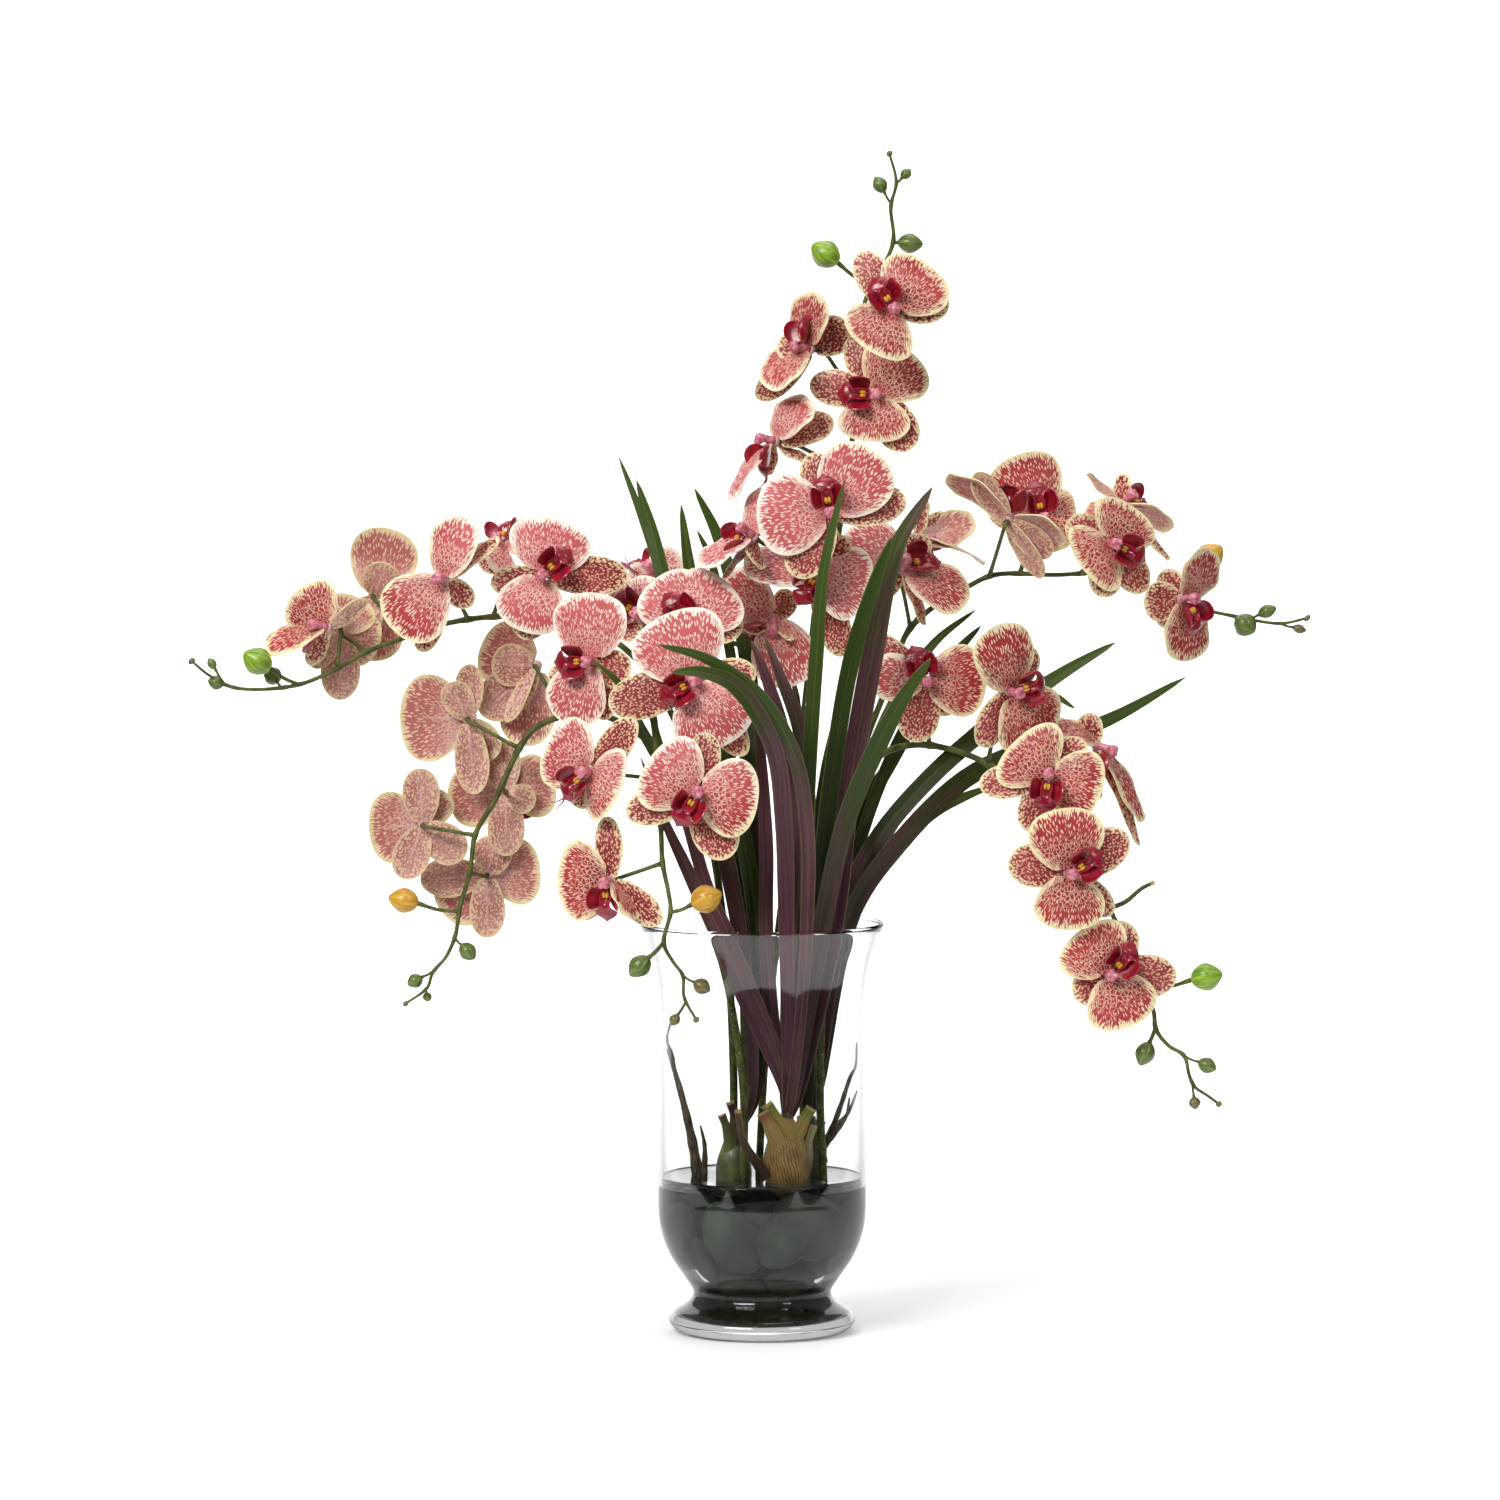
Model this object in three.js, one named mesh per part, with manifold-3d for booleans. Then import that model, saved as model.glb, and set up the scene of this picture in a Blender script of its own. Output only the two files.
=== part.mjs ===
// Cymbidium orchid in a glass vase: sprays of blooms, strap leaves, bulbs, roots, stones and water.
// Units are millimetres, Z is up, the vase stands on Z = 0 and its axis is the Z axis.
// Places are read as [right, up, depth]: right and up on the upright plane through the vase axis as
// seen from the front, and depth away from the viewer. The function seen() turns them into X, Y, Z.
import * as THREE from "three";
import Module from "manifold-3d";

const wasm = await Module();
wasm.setup();

// Viewing frame of the hand-read places
const VIEW_DISTANCE = 5000;
const EYE_HEIGHT = 735;

// Opening out of the bunch in depth, from a little above the rim
const SPREAD = 0.7;
const SPREAD_FROM = 320;
const SPREAD_TO = 460;

// Driving sizes
const WATER_LEVEL = 116;
const FIT_GAP = 0.3;
const WATER_GAP = 0.9;
const STONE_GAP = 0.4;
const PETAL_THICKNESS = 0.9;
const SEPAL_THICKNESS = 0.9;
const LEAF_THICKNESS = 1.1;
const HUB_RADIUS = 4.6;
const HUB_BACK = 2.4;
const HUB_FRONT = 3;
const VASE_SIDES = 24;
const GLASS_FLOOR = 8;

// Vase outline, outside: [radius, height] from the middle of the foot up to the rim
const VASE_OUTSIDE = [
  [60, 0],
  [69.5, 9],
  [66.5, 15],
  [55, 23],
  [51.3, 29.5],
  [57, 40],
  [68, 57],
  [77.7, 90],
  [77.7, 240],
  [79.6, 264],
  [83.4, 284],
  [90.4, 304.6],
];
// Vase outline, inside, from the rim down to the floor
const VASE_INSIDE = [
  [89.6, 306],
  [88, 305],
  [80.8, 284],
  [77, 264],
  [75, 240],
  [75, 90],
  [65.2, 58],
  [54.2, 42],
  [47.6, 30],
  [52.5, 21.5],
  [62, 14],
  [61, GLASS_FLOOR],
];

const MATERIALS = {
  glass: { color: "#dfe6e4", transparent: true, opacity: 0.35, roughness: 0.05 },
  water: { color: "#3a4442", transparent: true, opacity: 0.6, roughness: 0.05 },
  stone: { color: "#3c423c", roughness: 0.6 },
  petal: { color: "#bb6468", roughness: 0.6 },
  leaf: { color: "#3a5227", roughness: 0.5 },
  stem: { color: "#55663a", roughness: 0.5 },
  bulb: { color: "#8a6c3c", roughness: 0.7 },
  root: { color: "#4c4638", roughness: 0.8 },
};

// Blooms. Each has its centre, the way it faces as [azimuth, elevation] in degrees (0, 0 is towards
// the viewer, 180 away), the direction its lip hangs as seen (degrees, 270 is down; null for a bloom
// that has lost its lip), the place on the spray where its flower stalk starts, and its lobes.
// A lobe is [right, up, width] of its far end, lying in the plane of the bloom, or
// [right, up, width, depth from the centre, tilt of its face about its own length].
const BLOOMS = {
  bloom_a1: {
    at: [98, 760, -26], face: [-4, 8], lip: 125, stalk: [84, 782, 15],
    petals: [[124, 793, 56], [78, 730, 56]],
    sepals: [[71, 803, 27], [138, 767, 28], [86, 736, 24]],
  },
  bloom_a2: {
    at: [36, 731, 2], face: [-62, 12], lip: 95, stalk: [67, 700, 20],
    petals: [[36, 773, 50, 4, 55], [2, 703, 50, 0, -58]],
    sepals: [[65, 748, 30, 0, -10], [-3, 692, 24, 12, 20], [13, 741, 28, 4, -30]],
  },
  bloom_a3: {
    at: [84, 697, -2], face: [-6, 4], lip: 178, stalk: [67, 684, 22],
    petals: [[110, 729, 56], [82, 662, 54]],
    sepals: [[35, 706, 28], [110, 657, 32], [66, 742, 26]],
  },
  bloom_a4: {
    at: [10, 663, 0], face: [-62, 4], lip: 262, stalk: [62, 642, 29],
    petals: [[34, 695, 46, 4, 56], [-23, 618, 44, 0, -78]],
    sepals: [[52, 682, 28, 8, 30], [39, 651, 15, 6, 60], [9, 636, 14, 8, 40]],
  },
  bloom_a5: {
    at: [50, 610, -26], face: [0, 6], lip: 100, stalk: [57, 592, 34],
    petals: [[-4, 607, 60], [84, 655, 58]],
    sepals: [[107, 620, 30], [24, 563, 34], [37, 655, 28]],
  },
  bloom_a6: {
    at: [-6, 592, -12], face: [-60, 30], lip: 190, stalk: [57, 602, 35],
    petals: [[-48, 570, 44, 0, -70], [12, 628, 44, 10, 50]],
    sepals: [[-32, 564, 16, 8, -70], [2, 572, 20, -16, 60], [-4, 614, 20, 8, 40]],
  },
  bloom_b1: {
    at: [105, 567, 12], face: [12, 40], lip: 20, stalk: [108, 525, 30],
    petals: [[152, 543, 52, 0, 50], [62, 594, 54, 10, -40]],
    sepals: [[124, 528, 16, 4, 60], [80, 547, 24, 6, 20], [118, 596, 24, 6, 20]],
  },
  bloom_b2: {
    at: [113, 592, 38], face: [70, -10], lip: 330, stalk: [118, 532, 36],
    petals: [[157, 606, 42, 0, -125], [164, 569, 40, 0, 92]],
    sepals: [[118, 621, 20, -2, 60], [125, 566, 22, 8, 40], [140, 612, 18, 16, 20]],
  },
  bloom_b3: {
    at: [182, 604, 8], face: [165, 20], lip: 90, stalk: [168, 564, 30],
    petals: [[136, 636, 42, -2, -112], [223, 584, 44, -2, 118]],
    sepals: [[155, 638, 24, -6, 150], [210, 564, 20, 2, 140], [214, 580, 22, 6, 170]],
  },
  bloom_b4: {
    at: [205, 606, 44], face: [12, 6], lip: 100, stalk: [191, 566, 30],
    petals: [[186, 652, 60], [232, 604, 46]],
    sepals: [[168, 612, 24], [247, 609, 14, 13, 70], [224, 583, 22, 6, 10]],
  },
  bloom_b5: {
    at: [258, 587, -4], face: [18, 0], lip: 335, stalk: [236, 565, 30],
    petals: [[275, 614, 54], [236, 569, 58]],
    sepals: [[254, 547, 28], [286, 552, 27], [228, 603, 26]],
  },
  bloom_b6: {
    at: [266, 614, 34], face: [60, 45], lip: 30, stalk: [262, 564, 30],
    petals: [[304, 597, 42, 0, 112], [240, 600, 40, 2, -60]],
    sepals: [[238, 636, 20, 2, 110], [262, 640, 18, 14, 40], [306, 579, 12, 4, 60]],
  },
  bloom_b7: {
    at: [311, 546, 2], face: [42, 0], lip: 290, stalk: [318, 541, 30],
    petals: [[333, 582, 46, 4, -50], [313, 500, 52, 2, 46]],
    sepals: [[284, 541, 32, -6, 20], [296, 566, 20, -2, 10], [300, 522, 22, 8, 30]],
  },
  bloom_c1: {
    at: [121, 485, -2], face: [4, 4], lip: 112, stalk: [124, 437, 14],
    petals: [[166, 486, 54], [80, 490, 36]],
    sepals: [[71, 519, 28], [113, 440, 32], [143, 462, 24]],
  },
  bloom_c2: {
    at: [184, 478, -22], face: [30, -4], lip: 15, stalk: [168, 424, 10],
    petals: [[173, 527, 52], [206, 441, 60]],
    sepals: [[164, 436, 28], [206, 508, 24], [170, 500, 22]],
  },
  bloom_c3: {
    at: [213, 415, -28], face: [-4, 6], lip: 262, stalk: [204, 398, 4],
    petals: [[188, 441, 60], [252, 402, 54]],
    sepals: [[161, 408, 26], [196, 374, 26], [238, 442, 24]],
  },
  bloom_c6: {
    at: [248, 437, 6], face: [66, -18], lip: 240, stalk: [222, 380, 2],
    petals: [[281, 380, 30, 2, 66], [211, 452, 36, -2, -66]],
    sepals: [[238, 461, 20, 4, 20], [284, 364, 12, 10, 50], [256, 398, 16, 10, 50]],
  },
  bloom_c4: {
    at: [228, 343, -52], face: [12, 0], lip: 32, stalk: [238, 342, -22],
    petals: [[223, 391, 58], [227, 300, 54]],
    sepals: [[273, 370, 32], [184, 351, 32], [262, 311, 22]],
  },
  bloom_c5: {
    at: [258, 268, -40], face: [8, 0], lip: 50, stalk: [280, 262, -16],
    petals: [[236, 300, 56], [273, 228, 54]],
    sepals: [[309, 264, 32], [271, 306, 32], [235, 247, 28]],
  },
  bloom_d1: {
    at: [-163, 564, 16], face: [4, 4], lip: 42, stalk: [-160, 534, 36],
    petals: [[-153, 605, 62], [-178, 522, 52]],
    sepals: [[-99, 563, 30], [-201, 557, 22], [-176, 516, 30]],
  },
  bloom_d2: {
    at: [-236, 560, 4], face: [-18, 4], lip: null, stalk: [-218, 531, 32],
    petals: [[-220, 607, 44, 4, 34], [-273, 523, 54, 2, -8]],
    sepals: [[-197, 594, 20, 4, 55], [-255, 507, 24], [-214, 540, 20, 8, 0]],
  },
  bloom_d3: {
    at: [-191, 582, 44], face: [-40, 50], lip: 100, stalk: [-199, 532, 32],
    petals: [[-168, 598, 30, 4, 20], [-200, 566, 30, -14, 20]],
    sepals: [[-209, 568, 24, 4, 10], [-194, 591, 18, 4, 0]],
  },
  bloom_d4: {
    at: [-288, 548, 64], face: [178, 0], lip: 280, stalk: [-262, 519, 30],
    petals: [[-275, 598, 52], [-293, 500, 50]],
    sepals: [[-334, 527, 13, -4, 60], [-278, 574, 28, -6, 170], [-298, 519, 28, -8, 170]],
  },
  bloom_d5: {
    at: [-322, 525, 22], face: [-58, 6], lip: 200, stalk: [-315, 495, 22],
    petals: [[-342, 554, 48, 4, 20], [-367, 506, 40, 0, -62]],
    sepals: [[-370, 518, 18, 20, -40], [-295, 547, 14, 4, 150], [-334, 495, 16, 4, 20]],
  },
  bloom_d6: {
    at: [-312, 521, 46], face: [180, 0], lip: 250, stalk: [-293, 507, 26],
    petals: [[-301, 548, 40], [-284, 512, 40]],
    sepals: [[-313, 471, 30, -4, 180], [-334, 496, 18], [-322, 540, 20]],
  },
  bloom_e1: {
    at: [-168, 496, 30], face: [180, -4], lip: 250, stalk: [-150, 466, 10],
    petals: [[-208, 513, 50], [-178, 437, 42]],
    sepals: [[-201, 498, 32, -5, 180], [-208, 460, 36], [-187, 452, 14, -12, 150]],
  },
  bloom_e2: {
    at: [-218, 457, 22], face: [176, 0], lip: 232, stalk: [-180, 435, 5],
    petals: [[-269, 458, 66], [-205, 424, 34]],
    sepals: [[-232, 485, 24, -5, 180], [-216, 498, 22], [-213, 401, 26, -4, 180]],
  },
  bloom_e3: {
    at: [-190, 403, 29], face: [176, 0], lip: 320, stalk: [-193, 408, 4],
    petals: [[-233, 396, 46], [-154, 410, 48]],
    sepals: [[-196, 440, 30, 12, 180], [-190, 355, 28, -4, 180], [-168, 394, 22]],
  },
  bloom_e4: {
    at: [-252, 378, 22], face: [186, 0], lip: 300, stalk: [-215, 371, 3],
    petals: [[-292, 375, 54], [-234, 402, 26]],
    sepals: [[-254, 421, 28, -4, 180], [-267, 338, 28, -5, 180], [-222, 354, 30]],
  },
  bloom_e5: {
    at: [-204, 341, 46], face: [172, 0], lip: 210, stalk: [-217, 342, 2],
    petals: [[-165, 345, 50], [-238, 312, 44]],
    sepals: [[-196, 370, 30], [-253, 338, 30], [-204, 294, 27, -5, 180]],
  },
  bloom_f1: {
    at: [-126, 500, -10], face: [-22, 0], lip: 182, stalk: [-98, 478, 4],
    petals: [[-127, 551, 60], [-144, 454, 48]],
    sepals: [[-99, 490, 28], [-118, 456, 26], [-161, 487, 18]],
  },
  bloom_f2: {
    at: [-127, 417, -50], face: [-34, 2], lip: 218, stalk: [-80, 413, -28],
    petals: [[-157, 442, 58], [-104, 402, 58]],
    sepals: [[-96, 456, 27], [-143, 393, 26], [-128, 388, 24]],
  },
  bloom_f3: {
    at: [-50, 485, -46], face: [-4, 2], lip: 208, stalk: [-77, 462, -20],
    petals: [[-71, 535, 70], [-26, 438, 62]],
    sepals: [[-114, 467, 34], [-5, 492, 26], [-13, 430, 26]],
  },
  bloom_f4: {
    at: [-48, 402, -72], face: [0, 4], lip: 238, stalk: [-76, 380, -46],
    petals: [[-84, 427, 60], [-3, 396, 58]],
    sepals: [[-41, 447, 26], [-101, 386, 28], [-26, 353, 34]],
  },
  bloom_f5: {
    at: [-113, 336, -74], face: [-18, -4], lip: 268, stalk: [-75, 347, -60],
    petals: [[-151, 338, 60], [-98, 306, 30, -11, 66]],
    sepals: [[-116, 384, 22], [-77, 304, 24], [-140, 308, 20]],
  },
  bloom_g1: {
    at: [41, 563, 2], face: [2, 20], lip: 240, stalk: [30, 440, 50],
    petals: [[-14, 573, 46, 0, -50], [80, 552, 58]],
    sepals: [[60, 503, 26, 6, 0], [62, 592, 24, -2, 0], [32, 594, 20, 12, 0]],
  },
  bloom_g2: {
    at: [8, 532, 22], face: [-10, -50], lip: 205, stalk: [18, 500, 40],
    petals: [[22, 481, 50, -6, 10], [-28, 563, 40, 2, 10]],
    sepals: [[26, 549, 24, 8, -30], [-15, 530, 24, -6, -60], [25, 521, 12, -14, 70]],
  },
  bloom_g3: {
    at: [-54, 528, -8], face: [0, 10], lip: 130, stalk: [-53, 529, 50],
    petals: [[-80, 560, 52], [-26, 558, 56]],
    sepals: [[-14, 528, 30], [-60, 566, 24], [-54, 490, 24]],
  },
  bloom_g4: {
    at: [-90, 532, 34], face: [-20, 20], lip: 140, stalk: [-60, 528, 48],
    petals: [[-110, 552, 40], [-76, 560, 40]],
    sepals: [[-108, 520, 22], [-70, 515, 22]],
  },
  bloom_g5: {
    at: [-82, 560, 56], face: [-30, 60], lip: 120, stalk: [-72, 535, 52],
    petals: [[-61, 580, 30, 2, 30], [-98, 566, 26, 4, 30]],
    sepals: [[-104, 548, 22, 6, 10], [-70, 548, 22, 6, 0]],
  },
};

// Sprays: the main stalk from its foot to its tip, its radius at both ends, and its buds.
// A bud is [right, up, depth, length, width] with the place on the stalk where its own stalk starts.
const SPRAYS = {
  spray_a: {
    path: [
      [-3, 104, 18], [2, 200, 28], [12, 300, 36], [32, 450, 42], [52, 570, 38],
      [66, 655, 28], [68, 720, 20], [78, 772, 15], [92, 797, 13], [97, 812, 12],
      [95, 836, 12], [99, 854, 12], [94, 875, 12],
    ],
    radius: [3, 1],
    buds: [
      [47, 801, 10, 23, 21, [80, 778, 15]],
      [109, 809, 12, 18, 15, [97, 810, 12]],
      [87, 852, 12, 13, 11, [95, 838, 12]],
      [106, 860, 12, 9, 8, [99, 853, 12]],
    ],
    tip: [5, 4.4],
  },
  spray_b: {
    path: [
      [30, 104, 30], [32, 200, 36], [42, 300, 42], [70, 420, 46], [96, 490, 40],
      [108, 522, 32], [124, 538, 30], [152, 555, 30], [172, 564, 30], [216, 564, 30],
      [262, 564, 30], [318, 541, 30], [352, 533, 28], [384, 528, 26], [404, 532, 26],
    ],
    radius: [3, 1],
    buds: [
      [331, 577, 27, 23, 21, [300, 552, 30]],
      [358, 527, 24, 18, 18, [350, 534, 28]],
      [374, 537, 26, 14, 10, [360, 531, 28]],
      [398, 524, 26, 10, 7, [384, 528, 26]],
    ],
    tip: [6, 4],
  },
  spray_c: {
    path: [
      [46, 104, -8], [43, 180, -12], [48, 293, -16], [57, 325, -16], [64, 362, -13], [72, 400, -4],
      [88, 430, 8], [116, 438, 14], [148, 432, 12], [172, 421, 8], [204, 398, 4],
      [224, 372, -6], [240, 342, -22], [258, 316, -20], [274, 280, -14], [291, 240, -14],
      [293, 226, -14], [302, 214, -14], [314, 206, -14], [318, 191, -14], [322, 183, -14],
      [332, 176, -14], [340, 170, -14],
    ],
    radius: [3.2, 1],
    buds: [
      [330, 265, -22, 23, 21, [284, 256, -14]],
      [285, 208, -14, 18, 15, [292, 227, -14]],
      [331, 199, -14, 14, 12, [313, 206, -14]],
      [322, 171, -14, 9, 9, [320, 186, -14]],
    ],
    tip: [5, 4.4],
    stub: [[258, 316, -20], [270, 321, -20], [282, 331, -20], [290, 335, -20]],
  },
  spray_d: {
    path: [
      [-14, 104, 4], [-13, 200, 12], [-19, 300, 24], [-50, 420, 36], [-92, 500, 42],
      [-140, 530, 40], [-199, 533, 34], [-242, 526, 32], [-269, 516, 30], [-293, 507, 26],
      [-316, 494, 22], [-342, 483, 20], [-372, 479, 20], [-394, 481, 20], [-411, 490, 20],
      [-423, 500, 20],
    ],
    radius: [3, 1],
    buds: [
      [-374, 500, 12, 23, 21, [-344, 484, 20]],
      [-363, 489, 27, 15, 14, [-356, 480, 20]],
      [-405, 484, 22, 12, 11, [-392, 481, 20]],
      [-408, 498, 18, 9, 7, [-398, 483, 20]],
    ],
    tip: [6, 4.4],
  },
  spray_e: {
    path: [
      [-22, 104, 14], [-21.5, 200, 14], [-28, 300, 14], [-46, 390, 18], [-84, 440, 20],
      [-126, 462, 12], [-155, 457, 6], [-171, 448, 5], [-181, 434, 4], [-189, 417, 4],
      [-198, 397, 3], [-213, 371, 3], [-217, 344, 2], [-225, 315, 2], [-228, 296, 2],
      [-235, 280, 2], [-245, 268, 2], [-249, 257, 2], [-265, 245, 2],
    ],
    radius: [3.2, 1],
    buds: [
      [-266, 322, 4, 22, 19, [-226, 314, 2]],
      [-219, 284, -4, 15, 13, [-228, 294, 2]],
      [-258, 262, 4, 12, 11, [-243, 270, 2]],
      [-249, 250, 8, 8, 7, [-250, 256, 2]],
    ],
    tip: [5, 4],
  },
  spray_f: {
    path: [
      [-14, 104, -30], [-14, 180, -24], [-22, 240, -22], [-36, 300, -22], [-62, 400, -12],
      [-78, 446, -16], [-82, 464, -24], [-79, 440, -30], [-77, 400, -36], [-75, 372, -50],
      [-74, 350, -66], [-70, 330, -78], [-68, 314, -84], [-73, 290, -90], [-66, 276, -92],
      [-59, 266, -92], [-58, 250, -92], [-49, 233, -92],
    ],
    radius: [3, 1],
    buds: [
      [-42, 323, -84, 23, 21, [-68, 313, -84]],
      [-91, 273, -86, 19, 16, [-73, 291, -90]],
      [-45, 258, -90, 13, 12, [-59, 266, -92]],
      [-65, 233, -92, 9, 8, [-58, 246, -92]],
    ],
    tip: [5, 4.4],
  },
  spray_g: {
    path: [
      [16, 104, 30], [18, 200, 38], [22, 300, 46], [28, 420, 50], [20, 490, 46],
      [-18, 512, 46], [-60, 530, 50], [-78, 538, 52],
    ],
    radius: [3, 1.4],
    buds: [],
    tip: [6, 4.4],
  },
};

// Strap leaves: path from foot to tip, full width, turn of the blade about its length in degrees
const LEAVES = {
  leaves_front: {
    collar: ["bulb_front", [22, 190, -32], 7.6],
    blades: [
      [[[20, 176, -34], [31, 300, -44], [34, 400, -50], [40, 500, -56], [46, 570, -60], [61, 634, -62]], 11, 20],
      [[[23, 176, -28], [40, 300, -30], [50, 400, -32], [66, 500, -35], [84, 560, -38], [96, 592, -40]], 14, -25],
      [[[25, 176, -26], [52, 300, -24], [64, 400, -26], [81, 500, -28], [100, 585, -32], [126, 629, -36]], 17, 20],
      [[[23, 176, -35], [44, 300, -40], [62, 380, -44], [87, 440, -48], [106, 475, -52], [125, 502, -54]], 15, -20],
      [[[22, 176, -38], [33, 300, -52], [33, 380, -60], [22, 435, -68], [-6, 478, -80], [-44, 503, -88], [-77, 512, -92]],
        11, 10],
      [[[19, 176, -36], [18, 300, -50], [16, 380, -60], [7, 440, -72], [-20, 482, -84], [-45, 492, -90], [-67, 492, -92]],
        13, -10],
      [[[17, 176, -28], [20, 300, -24], [22, 400, -22], [14, 450, -20], [4, 485, -16], [-8, 515, -14]], 12, 15],
      [[[20, 176, -26], [28, 300, -18], [34, 400, -14], [28, 450, -10], [15, 485, -8], [2, 518, -4]], 12, -20],
      [[[17, 176, -31], [1, 216, -34], [-15, 252, -34], [-31, 290, -33], [-42, 315, -31], [-58, 350, -24],
        [-71, 378, -12], [-90, 428, 4]],
        11, 20],
      [[[20, 176, -36], [9, 216, -40], [-6, 252, -41], [-23, 292, -40], [-42, 335, -37], [-60, 395, -26],
        [-75, 424, -22], [-91, 452, -26], [-105, 482, -35], [-124, 500, -38]],
        10, 15],
      [[[18, 176, -24], [8, 230, -19], [3, 300, -16], [3, 360, -14], [0, 420, -12], [-4, 470, -10]], 12, 30],
    ],
  },
  leaves_left: {
    collar: ["bulb_left", [-8, 184, -8], 7],
    blades: [
      [[[-8, 176, -10], [-16, 292, -12], [-30, 370, -6], [-50, 460, 4], [-71, 550, 18], [-81, 595, 24], [-93, 634, 30]],
        14, 25],
      [[[-7, 176, -4], [-12, 292, 0], [-34, 420, 10], [-64, 530, 20], [-88, 604, 26], [-106, 651, 30]], 9, 10],
      [[[-7, 176, -8], [-4, 300, -6], [-20, 400, 2], [-40, 500, 12], [-54, 570, 20], [-60, 616, 24]], 13, -20],
      [[[-5, 176, -6], [2, 300, 0], [-4, 420, 16], [-14, 520, 36], [-32, 590, 40], [-50, 628, 40]], 13, 20],
      [[[-6, 176, -4], [-3, 300, 6], [-12, 420, 20], [-26, 520, 40], [-38, 575, 44], [-48, 597, 44]], 8, -15],
    ],
  },
  leaves_back: {
    collar: ["bulb_back", [38, 188, 11], 7.6],
    blades: [
      [[[38, 176, 10], [50, 300, 12], [70, 400, 18], [98, 470, 22], [128, 514, 28], [158, 538, 32]], 9, 20],
      [[[38, 176, 14], [56, 300, 18], [84, 400, 26], [120, 475, 34], [145, 508, 38], [162, 526, 40]], 10, -20],
      [[[39, 176, 6], [60, 310, 0], [82, 362, 4], [126, 415, 12], [185, 465, 24], [224, 492, 30], [262, 514, 32]], 14, 15],
      [[[40, 176, 8], [68, 315, -4], [102, 365, 0], [150, 412, 16], [200, 436, 34], [256, 456, 38], [314, 488, 38]], 15, -15],
      [[[40, 176, 12], [64, 300, 6], [92, 350, 6], [124, 385, 10], [152, 400, 16], [174, 408, 20]], 9, 10],
      [[[38, 176, 16], [60, 300, 16], [98, 380, 22], [150, 440, 26], [190, 470, 26], [214, 475, 26], [232, 465, 26]],
        9, 20],
      [[[35, 176, 16], [48, 300, 22], [66, 380, 28], [90, 415, 32], [116, 456, 36]], 14, -20],
      [[[34, 176, 6], [38, 300, 8], [46, 400, 14], [58, 460, 18], [68, 494, 22]], 13, 30],
    ],
  },
};

// Bulbs: centre line place at the foot, outline as [radius, height], and cut leaf sheaths
const BULBS = {
  bulb_front: {
    at: [18, -27],
    outline: [[7, 104], [13, 110], [16.6, 122], [17, 132], [14.6, 144], [9.6, 156], [7, 167]],
    sheaths: [
      [[14, 148, -36], [0, 165, -38], 9],
      [[4, 120, -36], [-9, 152, -34], 6],
      [[17, 150, -34], [7, 171, -36], 8],
      [[24, 146, -32], [39, 169, -34], 7],
      [[28, 138, -28], [42, 155, -30], 7],
    ],
  },
  bulb_left: {
    at: [-21, -14],
    outline: [[6, 104], [11.5, 110], [13.4, 119], [12.4, 130], [8.4, 142], [6, 150]],
    sheaths: [
      [[-25, 136, -20], [-34, 163, -27], 8],
      [[-21, 136, -21], [-27, 173, -31], 7],
      [[-24, 136, -20], [-21, 159, -28], 6],
    ],
  },
  bulb_back: {
    at: [33, 10],
    outline: [[6, 104], [10.5, 110], [12, 122], [11, 136], [8, 150], [7, 160]],
    sheaths: [
      [[38, 140, 4], [44, 158, 0], 8],
    ],
  },
};

// Roots and twigs: thin tapering branches as [path, foot radius, tip radius]
const ROOTS = {
  root_left: [
    [[[-47, 105, 8], [-50, 130, 8], [-56, 160, 6], [-65, 194, 4], [-71, 211, 4]], 5.2, 1],
    [[[-66, 197, 4], [-67, 206, 4], [-71, 218, 2], [-68, 232, 2]], 1.9, 0.8],
    [[[-45, 105, 8], [-43, 122, 8], [-43, 140, 6], [-46, 154, 6]], 3.4, 0.8],
  ],
  root_right: [
    [[[45.9, 126, 15.1], [46, 139, 16], [52, 151, 17], [60, 172, 16], [66, 190, 12], [70, 198, 9], [71, 216, 8]], 3.2, 0.8],
    [[[46, 139, 16], [55, 153, 10], [64, 163, 6], [71, 180, 2]], 2.8, 0.8],
    [[[46, 138, 16], [55, 149, 22], [63, 160, 25], [66, 175, 26]], 2.6, 0.8],
  ],
};

// Stones: place of the middle, half length, half width, half thickness, and lean in degrees
const STONES = [
  [[-25, 73, -36], 34, 25, 27, -50],
  [[-52, 77, -14], 22, 19, 24, 75],
  [[-40, 58, -26], 20, 13, 20, 60],
  [[18, 68, -40], 24, 19, 25, 10],
  [[38, 78, -28], 30, 21, 26, 25],
  [[53, 77, -4], 20, 18, 24, 80],
  [[20, 42, -20], 25, 16, 22, 5],
  [[-19, 38, -18], 24, 14, 22, -5],
  [[-4, 22, -14], 24, 13, 24, 0],
  [[18, 23, 10], 21, 14, 22, -10],
  [[0, 38, 8], 34, 20, 32, 0],
  [[-32, 74, 28], 34, 24, 28, 20],
  [[30, 76, 30], 34, 24, 28, -15],
  [[4, 76, -4], 34, 30, 40, 0],
  [[-36, 13, -18], 23, 8, 24, 0],
  [[36, 13, -16], 23, 8, 24, 0],
  [[0, 10, -38], 25, 8, 20, 0],
  [[-2, 20, 34], 32, 8, 24, 0],
];

// Depth opened out above the rim, so that the bunch stands as full from the side as such bunches do
function opened(up, depth) {
  return depth * (1 + SPREAD * THREE.MathUtils.smoothstep(up, SPREAD_FROM, SPREAD_TO));
}

// Turns a place read from the front into X, Y, Z
function seen([right, up, flatDepth]) {
  return placed(right, up, opened(up, flatDepth));
}

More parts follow.
